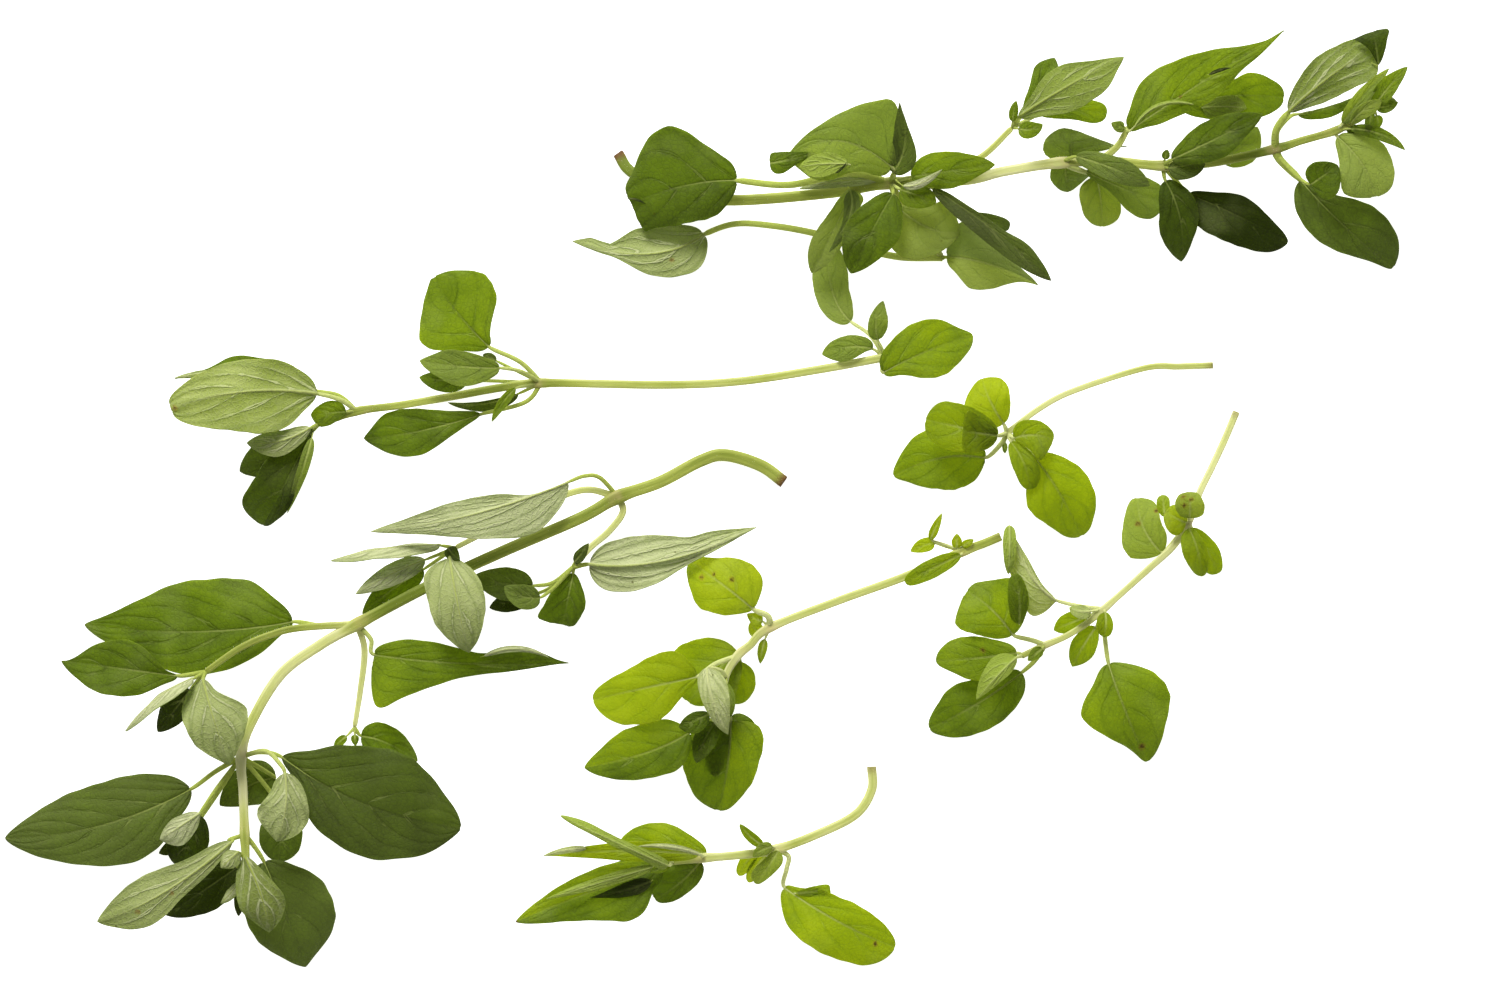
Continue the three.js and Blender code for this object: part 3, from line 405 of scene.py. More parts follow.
class Blade:
    """The grid that one blade is made on.

    along is 0 at its base and 1 at its tip, across is -1 at its left margin and 1 at its right one,
    outward is 0 at its midrib and 1 at both, half is half its width there, and off_rib is how far
    to the right of the midrib a point is.
    """

    def __init__(self, spec, rng):
        self.spec = spec
        self.midrib = midrib_through(spec["base"], spec["mid"], spec["tip"])
        self.length = lengths_along(self.midrib(np.linspace(0, 1, MIDRIB_SAMPLES)))[-1]
        self.size = min(1.0, spec["width"] / FULL_WIDTH)
        self.rows = rows_along(self.length)
        self.centres = self.midrib(self.rows)
        self.right, self.up = frames_across(self.centres, spec["roll"])
        half = spec["width"] / 2 * outline(self.rows, spec["blunt"], spec["sharp"])
        left_share, right_share = margin_factors(spec, self.rows, self.centres, self.right, half, rng)
        self.along, self.across = np.meshgrid(self.rows, columns_across(spec["width"]), indexing="ij")
        self.half = half[:, None] * self.by_half(left_share[:, None], right_share[:, None])
        self.off_rib = self.across * self.half
        self.outward = np.abs(self.across)

    def by_half(self, left, right):
        return np.where(self.across < 0, left, right)

    def side_veins(self, rng):
        """Veins that leave the midrib at a slant and arch towards the tip.

        Gives each point's place among them, whole numbers being veins, and the gap between two.
        """
        ascend = self.spec["ascend"]
        pairs = max(2, round(max(MIN_VEIN_PAIRS, self.length / VEIN_GAP) / ascend))
        lean = ascend * (VEIN_LEAN if self.spec["roll"] < 90 else UNDERSIDE_VEIN_LEAN)
        start = self.along - lean * self.outward - VEIN_ARCH * self.outward**2
        place = start * pairs + self.by_half(LEFT_VEINS_BEHIND, 0) + rng.uniform(0, MAX_VEIN_SHIFT)
        half = np.maximum(self.half, LEAST_HALF_WIDTH)
        slope = (lean + 2 * VEIN_ARCH * self.outward) * self.length / half
        return place, self.length / pairs / np.sqrt(1 + slope**2)

    def vein_relief(self, place):
        """Swollen cells between the side veins, and a groove along the midrib that fades to the tip."""
        depth = self.spec["quilt"] * self.size
        off_vein = np.abs((place + 0.5) % 1 - 0.5)
        swell = np.sin(math.pi * off_vein) ** CELL_FULLNESS
        swell *= (1 - self.outward**CELL_END_POWER) * (1 - bell(self.off_rib, CELL_START))
        groove = bell(self.off_rib, RIB_GROOVE_REACH) * (1 - self.along)
        return CELL_SWELL * depth * (swell - 0.5) - RIB_GROOVE * depth * groove

    def margin_relief(self, rng):
        """Waved and curled margins, on a blade that is a little uneven all over."""
        width = self.spec["width"]
        phase = rng.uniform(0, 2 * math.pi, 4)
        beats = rng.uniform(*MARGIN_WAVES, 2)
        left, right = (np.sin(2 * math.pi * beats[k] * self.along + phase[k]) for k in (0, 1))
        arch = np.sin(math.pi * self.along)
        wave = WAVE_SHARE * width * self.outward**WAVE_POWER * self.by_half(left, right) * arch
        curl = CURL_SHARE * self.half * self.outward**CURL_POWER
        uneven = sum(
            np.sin(along * self.along + across * self.across + start)
            for (along, across), start in zip(UNEVEN_WAVES, phase[2:])
        )
        return wave + curl + UNEVEN_SHARE * width * uneven * arch

    def sheets(self, relief):
        """The upper and the lower face, and the normals that part them."""
        fold = math.radians(self.spec["fold"])
        lift = np.sqrt(self.across**2 + CREASE_ROUNDING) - math.sqrt(CREASE_ROUNDING)
        across = self.right[:, None] * (self.off_rib * math.cos(fold))[..., None]
        over = self.up[:, None] * (lift * self.half * math.sin(fold) + relief)[..., None]
        sheet = self.centres[:, None] + across + over
        normals = unit(np.cross(np.gradient(sheet, axis=1), np.gradient(sheet, axis=0)))
        thinning = (1 - MARGIN_SHARE) * self.outward**THINNING_POWER
        half_thickness = BLADE_THICKNESS / 2 * (1 - thinning)[..., None]
        return sheet + normals * half_thickness, sheet - normals * half_thickness, normals

    def off_spots(self):
        """How far each point is from the rim of the nearest brown spot."""
        nearest = np.full(self.along.shape, FAR)
        for along, across, radius in self.spec["spots"]:
            gap = np.hypot((self.along - along) * self.length, (self.across - across) * self.half)
            nearest = np.minimum(nearest, gap - radius)
        return nearest

    def tones(self, rng):
        # Painted light and shade from lit, plus a random spread that is the leaf's own tone
        left_more, right_more, tip_more = self.spec["lit"]
        more = self.by_half(left_more, right_more) + tip_more * self.along
        more += rng.uniform(-TONE_SPREAD, TONE_SPREAD)
        age, pale, dull = self.spec["tone"]
        return triples(self.along.shape, age + more, pale + more, dull)


def add_leaf(shell, spec, rng):
    """A blade with its stalk, and the raised rib under it."""
    blade = Blade(spec, rng)
    place, pitch = blade.side_veins(rng)
    upper, lower, normals = blade.sheets(blade.vein_relief(place) + blade.margin_relief(rng))
    seed = rng.uniform(0, 1)
    tones = blade.tones(rng)
    shape = blade.along.shape

    def notes(face):
        return {
            "vein_place": triples(shape, blade.across, place, pitch),
            "leaf_place": triples(shape, np.abs(blade.off_rib), blade.along, 0.0),
            "tone": tones,
            "marks": triples(shape, face, blade.off_spots(), seed),
        }

    shell.blade(upper, lower, notes(1.0), notes(0.0))
    middle = shape[1] // 2
    add_stalk(shell, blade, lower[:, middle], normals[:, middle], tones[0, 0], seed)


def add_stalk(shell, blade, underside, normals, tone, seed):
    """The stalk from the stem to the blade, and the rib that it becomes under the blade."""
    spec, size = blade.spec, blade.size
    route = [spec["start"], *spec["via"], spec["base"], blade.midrib([STALK_AIM])[0]]
    spans = len(route) - 2
    whole = through(route, np.linspace(0, 1, STALK_SAMPLES))
    steps = max(MIN_STALK_RINGS, int(lengths_along(whole)[-1] / STEM_STEP))
    free = through(route, np.linspace(0, spans / (spans + 1), steps))[:-1]
    free_radii = np.linspace(STALK_ROOT_RADIUS, STALK_END_RADIUS, len(free))
    free_radii *= spec["stalk"] * (THIN_STALK + (1 - THIN_STALK) * size)
    keep = (blade.rows > RIB_START) & (blade.rows < RIB_END)
    rib = underside[keep] + normals[keep] * RIB_SINK * size
    taper = (1 - blade.rows[keep] / RIB_END) ** RIB_TAPER
    rib_radii = size * STALK_END_RADIUS * RIB_SHARE * taper + RIB_TIP_RADIUS
    radii = smoothed(np.concatenate([free_radii, rib_radii]), STALK_SMOOTHING)
    line = np.concatenate([free, rib])
    on_rib = np.repeat([0.0, 1.0], [len(free), len(rib)])
    right, up = frames_across(line, spec["roll"])
    rings = ring_points(line, right, up, radii[:, None], angles_around(STALK_SIDES))
    shape = rings.shape[:2]
    notes = {
        "vein_place": triples(shape, 0.0, 0.0, 0.0),
        "leaf_place": triples(shape, 0.0, on_rib[:, None], 1.0),
        "tone": triples(shape, *tone),
        "marks": triples(shape, 0.0, FAR, seed),
    }
    shell.tube(rings, notes)


def add_stem(shell, spec):
    """A squarish stem that swells at its joints. Returns what its hairs need."""
    rough = through(spec["points"], np.linspace(0, 1, STEM_SAMPLES * len(spec["points"])))
    steps = max(MIN_STEM_STEPS, int(lengths_along(rough)[-1] / STEM_STEP))
    share = np.linspace(0, 1, steps + 1)
    line = through(spec["points"], share)
    near = np.zeros(len(line))
    for joint in spec["joints"]:
        gap = np.linalg.norm(line - np.array(joint), axis=1)
        near = np.maximum(near, bell(gap, JOINT_REACH))
    radius = spec["root"] + (spec["tip"] - spec["root"]) * share**LATE_TAPER
    radius *= 1 + JOINT_SWELL * near
    if spec["cut"] is None:
        radius[-1] *= SHOOT_END
    angles = angles_around(STEM_SIDES, 0.5)
    cos, sin = np.cos(angles), np.sin(angles)
    square = (np.abs(cos) ** SQUARENESS + np.abs(sin) ** SQUARENESS) ** (-1 / SQUARENESS)
    square *= 1 - STEM_GROOVE * np.cos(4 * angles)
    right, up = frames_across(line, 0)
    rings = ring_points(line, right, up, radius[:, None] * square[None], angles)
    shape = rings.shape[:2]
    green = np.interp(share, *zip(*spec["green"]))
    notes = {
        "stem_place": triples(shape, cos, sin, lengths_along(line)[:, None]),
        "stem_marks": triples(shape, near[:, None], green[:, None], spec["cut"] or 0.0),
        "stem_hair": triples(shape, 0.0, 0.0, 0.0),
    }
    shell.tube(rings, notes)
    return line, right, up, radius


def add_hairs(shell, line, right, up, radius, rng):
    """Fine white hairs that stand off a stem, three-sided and tapered."""
    count = int(lengths_along(line)[-1] * HAIRS_PER_MM)
    rows = rng.integers(1, len(line) - 1, count)
    turn = rng.uniform(0, 2 * math.pi, count)
    out = unit(right[rows] * np.cos(turn)[:, None] + up[rows] * np.sin(turn)[:, None])
    forward = unit(line[rows + 1] - line[rows - 1])
    side = np.cross(out, forward)
    root = line[rows] + out * (radius[rows] * HAIR_ROOT)[:, None]
    reach = rng.uniform(*HAIR_REACH, (count, 1)) * HAIR_LENGTH
    lean = rng.uniform(-HAIR_LEAN, HAIR_LEAN, (count, 1)) * forward
    tip = root + unit(out + lean) * reach
    ring = ring_points(root, forward, side, np.full((count, 1), HAIR_RADIUS), angles_around(3))
    spikes = np.concatenate([ring, tip[:, None]], 1)
    shape = spikes.shape[:2]
    nothing = triples(shape, 0.0, 0.0, 0.0)
    notes = {"stem_place": nothing, "stem_marks": nothing, "stem_hair": triples(shape, 1.0, 0.0, 0.0)}
    a = shell.add(spikes, notes) + 4 * np.arange(count)
    for k in range(3):
        shell.triangles.append(np.stack([a + k, a + (k + 1) % 3, a + 3], -1))
    shell.triangles.append(np.stack([a, a + 2, a + 1], -1))


# The broad sprig, bottom left
def broad_sprig():
    joint1 = (-14.5, 0.5, 5)
    joint2 = (-58, -20.7, 5.6)
    joint3 = (-77.3, -42.8, 6.2)
    joint4 = (-76.7, -55.8, 6.6)
    tip = (-76.5, -60, 7.4)
    back_shoot = (-41.7, -8, 6)
    low_shoot = (-22, -11.2, 4.6)
    left_shoot = (-83.3, -28.7, 8.2)
    thin_shoot = (-58.5, -38, 3)
    stems = [
        stem(
            [
                (13.2, 3, 0.95), (9.2, 5.8, 0.95), (3.3, 7.5, 1.6), (-0.8, 6.5, 2.4), (-7.5, 3, 3.6),
                joint1, (-20.8, -3, 5.4), (-34, -8.7, 5.6), (-45.8, -14.2, 5.6), joint2,
                (-64.2, -24.2, 5.8), (-70.8, -29.2, 6), (-75.8, -37.5, 6.2), joint3, (-77, -48.3, 6.2),
                joint4, tip,
            ],
            1.06,
            0.68,
            joints=(joint1, joint2, joint3, joint4),
            cut=1.0,
            # Darker at 0.53, where a leaf's shadow falls on the stem, is painted shade; the palest stretch
            # from 0.8 to 0.88 is painted light against the shade there
            green=(
                (0, 0.62), (0.29, 0.65), (0.31, 0.95), (0.34, 0.72), (0.44, 0.72), (0.53, 0.95),
                (0.56, 0.75), (0.59, 0.14), (0.69, 0.2), (0.74, 0.45), (0.77, 0.3), (0.8, 0),
                (0.88, 0), (0.94, 0.65), (1, 0.65),
            ),
        ),
        stem([joint1, (-20.8, 1.6, 4.8), (-31, -2.6, 4.6), back_shoot], 0.6, 0.45),
        stem([joint1, (-13.7, -2, 4.6), (-16, -5.2, 4.5), (-19.2, -8, 4.5), low_shoot], 0.6, 0.5),
        stem(
            [joint2, (-67.5, -21.3, 6.8), (-72.5, -22.5, 7.8), (-77.5, -24.7, 8.4), left_shoot],
            0.62,
            0.5,
            green=((0, 0.3), (0.3, 0.7), (1, 0.65)),
        ),
        stem([joint2, (-56.8, -25, 4), (-57.5, -31.7, 3.2), thin_shoot], 0.55, 0.42),
    ]
    leaves = [
        # First joint: a long leaf underside up, with a shoot of smaller ones behind it
        turned(joint1, (-22.8, 3, 8.5), (-39, -2.5, 11.5), (-55.7, -5.3, 9), 7.3, MILKY,
            via=[(-17.5, 3.7, 7), (-20, 4, 8)], blunt=0.62, ascend=2, edge=((-28.8, 0.8), (-34.5, 1),
            (-39.3, 0.3), (-43.2, -0.7), (-46.8, -2), (-51.8, -3.8), (-51.8, -5.5), (-45.7, -5.8),
            (-39.3, -6.3), (-33.2, -6.3), (-29.5, -6.2), (-27, -4.7), (-24.8, -2.2))),
        leaf(back_shoot, (-44.2, -7.6, 6.5), (-53.5, -8.3, 8.6), (-62.3, -10.2, 8), 4.6, MILKY, roll=120,
            fold=25),
        leaf(back_shoot, (-46.7, -10, 5.6), (-52.5, -12.5, 6.6), (-58.2, -15.7, 6), 4.2, MILKY, roll=165,
            fold=22),
        leaf(back_shoot, (-47, -11.6, 3.6), (-52.5, -15.2, 3.6), (-57.2, -19, 2.4), 4.6, GREEN),
        leaf(back_shoot, (-42.8, -8, 7), (-42, -9, 8), (-40.8, -10, 8.6), 2.4, DARK),
        turned(back_shoot, (-42.5, -9.7, 8), (-41, -18, 11.5), (-39.3, -25.3, 8.6), 9.8, SAGE, fold=12,
            blunt=0.55, ascend=1.6, edge=((-45.7, -11), (-46.3, -14.3), (-45.8, -18), (-44.3, -21.5),
            (-42.5, -23.7), (-37.5, -24.3), (-36.7, -20.5), (-36.8, -15.7), (-37, -13.7), (-39.3, -11))),
        # Its lower shoot: a broad leaf underside up, and small dark ones
        turned(low_shoot, (-19.2, -10.7, 5.4), (-6.2, -10, 7.4), (8.7, -4.5, 6.4), 9.4, MILKY, sharp=1.0,
            quilt=2.2, ascend=2.4, lit=(-0.2, -0.1, 0.3), edge=((-18, -8.2), (-14.7, -6.7), (-10.3, -5.8),
            (-6.5, -5.8), (-2.2, -6.3), (1.5, -5), (5.8, -3.7), (-18.7, -13.2), (-17.2, -14.7),
            (-14.7, -15.3), (-10.8, -15), (-6.5, -13.2), (-2.8, -10.7), (0.8, -8.8), (4.7, -6.8),
            (7.7, -5.3))),
        leaf(low_shoot, (-22, -12.2, 4), (-22.8, -16.2, 3.6), (-23.8, -20.8, 1.4), 7.6, GREEN, sharp=0.15,
            edge=((-24, -13.7), (-25.7, -15.2), (-26.5, -17.3), (-26.8, -20.2), (-20.7, -14.2),
            (-19.5, -17), (-20.3, -18.8), (-21.5, -20.3))),
        leaf(low_shoot, (-21.8, -10.4, 5.2), (-20.6, -9, 6.4), (-19.4, -7.2, 7.2), 2, DARK, roll=20),
        leaf(low_shoot, (-28.7, -14.3, 4.2), (-33.8, -13.9, 4.2), (-38.8, -12.8, 2.4), 5.7, DARK,
            via=[(-25.4, -13.8, 4.2)]),
        leaf(low_shoot, (-29.2, -16, 2.6), (-32.7, -17, 2.2), (-36, -18, 0.8), 3.6, IN_SHADOW,
            via=[(-25.8, -14.6, 3)]),
        leaf(low_shoot, (-27.5, -16.3, 6), (-30.6, -16, 7.2), (-33.4, -14.4, 7), 4.4, OLIVE,
            via=[(-25.2, -14.6, 5)], fold=20),
        # Second joint, left: a broad dark leaf under a shoot with five more
        leaf(joint2, (-68.7, -20.3, 5), (-85.8, -22, 4.8), (-103.7, -20.8, 0.6), 15.8, GREEN,
            via=[(-63.5, -21, 5.6)], fold=5, edge=((-71.3, -16.7), (-74.5, -14), (-78.5, -13),
            (-83.7, -13.2), (-89.8, -14.3), (-95, -16.7), (-101.2, -19), (-101.2, -23.7), (-93.3, -26.3),
            (-89.8, -28.5), (-83.7, -29.2), (-77.5, -27.7), (-73.3, -24.8), (-69.8, -21.8))),
        leaf(left_shoot, (-87.8, -29.3, 8.6), (-97.5, -28, 10), (-107.3, -26.8, 6.4), 9.8, GREEN,
            edge=((-89.8, -28.5), (-92.3, -25.3), (-95.5, -23.3), (-98, -23.2), (-102.2, -24.3),
            (-106.2, -26.7), (-106.2, -29), (-102.2, -31.5), (-97, -32.8), (-92.8, -32), (-89.8, -30.5))),
        leaf(left_shoot, (-85.2, -29.8, 10.8), (-91.4, -33.4, 13.2), (-96.3, -38.5, 10.8), 4.2, MILKY,
            roll=118, fold=25),
        leaf(left_shoot, (-85.8, -31.6, 6.4), (-88.6, -35.2, 5.2), (-91.3, -38.7, 2.6), 4.8, IN_SHADOW),
        turned(left_shoot, (-83.5, -30, 9.6), (-81.5, -37, 12.6), (-79.2, -44, 10.4), 10.6, SAGE, fold=12,
            edge=((-86.2, -32), (-87, -35.7), (-85.7, -39.2), (-83.7, -42), (-81.2, -43.7),
            (-77.5, -41.3), (-76.3, -37.7), (-76, -34.7), (-78, -32.8), (-81.2, -32.5))),
        # Second joint, right: a leaf that narrows to a long tip, and the leaves of a thin shoot
        leaf(joint2, (-55.2, -25.8, 6), (-39.5, -27.3, 5.8), (-22.5, -27.2, 2.4), 8.4, FRESH,
            via=[(-55.7, -23.2, 5.8)], blunt=0.4, sharp=0.9, lit=(0, 0, -0.3), edge=((-54, -24.2),
            (-50, -23.2), (-45.7, -23.5), (-41.8, -24.5), (-36.8, -25.8), (-32, -25), (-27, -25),
            (-24, -26), (-23.8, -27.5), (-27, -27.8), (-32, -28.5), (-36.8, -29), (-41.3, -29.7),
            (-45.7, -31.2), (-50.5, -32.8), (-54, -34.5), (-55.5, -33), (-56.2, -30.5))),
        turned((-37.5, -26.2, 6.4), (-36.8, -26, 6.6), (-31.3, -24.8, 6), (-26, -26.3, 4.4), 1.1, MILKY,
            fold=0, stalk=0.2),
        leaf(thin_shoot, (-59.8, -39.4, 3), (-61, -40.4, 2.8), (-61.9, -41.4, 2.2), 1.6, FRESH),
        leaf(thin_shoot, (-58.4, -39.2, 3.4), (-58.4, -40, 3.6), (-58.3, -41, 3.2), 1.4, FRESH),
        leaf(thin_shoot, (-57.4, -39.4, 2.6), (-53, -40.6, 2.2), (-48, -43.6, 1), 6, GREEN),
        # Third joint: two broad dark leaves, side shoots with pale ones, and dark leaves below
        leaf(joint3, (-85.7, -48.2, 6.2), (-100.8, -54.3, 5.8), (-117, -56.5, 0.4), 12.8, DUSKY,
            via=[(-81.5, -45.2, 6.4)], fold=6, blunt=0.6, quilt=1.5, edge=((-88.8, -46), (-91.8, -45.7),
            (-97, -46.2), (-102.2, -47.5), (-107.3, -49.5), (-112.3, -52.5), (-113.3, -58.8),
            (-108.3, -60.2), (-102.2, -61), (-97, -60.8), (-92.8, -59.2), (-90.3, -57.3),
            (-88.3, -53.7))),
        leaf(joint3, (-70.5, -42.8, 7.4), (-56.5, -50.7, 9.4), (-40.7, -54.7, 4.4), 17.8, DARK,
            via=[(-74.2, -42, 7)], fold=6, blunt=0.62, sharp=0.6, edge=((-66.2, -41.8), (-62.2, -41),
            (-58, -40.7), (-53.8, -41.3), (-49.3, -42.8), (-45.7, -45.8), (-42.7, -50), (-41.2, -56.7),
            (-45.7, -58.7), (-50.8, -59.7), (-56, -59.7), (-60, -58.2), (-64.2, -55.2), (-66.7, -52),
            (-68.8, -45.8)), lit=(-0.04, -0.14, 0)),
        turned(joint3, (-84.2, -52.2, 8.8), (-87.3, -54.3, 10.4), (-90.7, -56.5, 10), 4, MILKY,
            via=[(-81.2, -47.8, 7.4)], fold=22, edge=((-86.7, -52.3), (-89.7, -54), (-88.8, -57.5),
            (-85.7, -56.3), (-84.5, -54.2))),
        leaf(joint3, (-84.2, -52.6, 4), (-86.4, -57, 3.4), (-87.2, -61.3, 1), 7.2, DEEP,
            via=[(-81, -48.2, 5)], sharp=0.6, lit=(-0.15, -0.15, 0)),
        leaf(joint3, (-86.6, -56.6, 1.8), (-89, -58, 1.4), (-91.2, -59, 0.6), 2.6, IN_SHADOW,
            via=[(-81, -48.6, 4.2)]),
        turned(joint3, (-69.8, -45.5, 12.6), (-69.7, -51.3, 14), (-71.2, -56.7, 12.4), 8.2, SAGE,
            via=[(-73.2, -41.8, 8.6), (-70.6, -44, 11.6)], fold=16, quilt=1.6, edge=((-72.3, -49),
            (-74.5, -53), (-73.8, -55.2), (-67.2, -55.2), (-65.8, -51), (-66.7, -48.5)),
            lit=(0.15, 0.05, 0)),
        leaf(joint3, (-71.6, -46.4, 3.4), (-76, -47.6, 3), (-81, -51, 1.6), 7.4, DARK),
        leaf(joint3, (-70.6, -52, 3.4), (-70.8, -56, 2.6), (-71.3, -60.3, 0.8), 7.4, DARK,
            via=[(-73, -48, 4.6)], sharp=0.5),
        # Fourth joint and tip
        turned(joint4, (-78.8, -57, 8.6), (-90.3, -65.5, 10.6), (-101.2, -70.2, 7.6), 6.8, SAGE,
            via=[(-79.2, -56.6, 7.6)], fold=14, quilt=1.4, ascend=1.8, spots=[(0.7, 0.2, 0.25),
            (0.45, 0.3, 0.15)], edge=((-81.7, -57.3), (-85.7, -59.7), (-91.8, -61.8), (-97, -64.8),
            (-99.5, -67.5), (-99, -71.5), (-95, -71.7), (-90.8, -70), (-86.7, -65.8), (-82.7, -62.3),
            (-80, -59.3))),
        leaf(tip, (-78, -61.2, 5.4), (-84, -65.4, 4.4), (-90, -69.3, 1.6), 7.6, IN_SHADOW),
        leaf(tip, (-77.6, -58.6, 9.4), (-79, -59.8, 11), (-80.5, -61.2, 11.4), 3.6, SAGE, roll=170,
            fold=25),
        turned(tip, (-76.5, -59.5, 9.4), (-73.8, -65.8, 12.2), (-72.5, -71.8, 10), 8.2, MOSS, fold=12,
            quilt=1.6, edge=((-78, -63.3), (-77, -68.5), (-74.5, -71), (-70.3, -69.5), (-69.7, -66.3),
            (-72.3, -63.3), (-75, -60.3))),
        leaf(tip, (-77.4, -63.6, 7.2), (-79, -65.6, 7.8), (-80.6, -67.2, 7), 2, SAGE, roll=150),
        leaf(joint4, (-73.5, -60.3, 5.8), (-69.8, -69.2, 5.4), (-66.7, -78, 0.4), 14.4, DUSKY,
            via=[(-75.2, -57.6, 6.2)], fold=6, edge=((-69.3, -60.7), (-65.2, -62.3), (-62.3, -65.8),
            (-61.7, -69.5), (-62.7, -73.5), (-64.7, -76.7), (-70.3, -76.7), (-73.3, -74.7), (-76, -71.5),
            (-76.7, -68.5))),
        leaf(tip, (-77.2, -64.6, 5.6), (-77.6, -67, 5), (-77.8, -69.4, 3.8), 2, IN_SHADOW),
    ]
    return stems, leaves


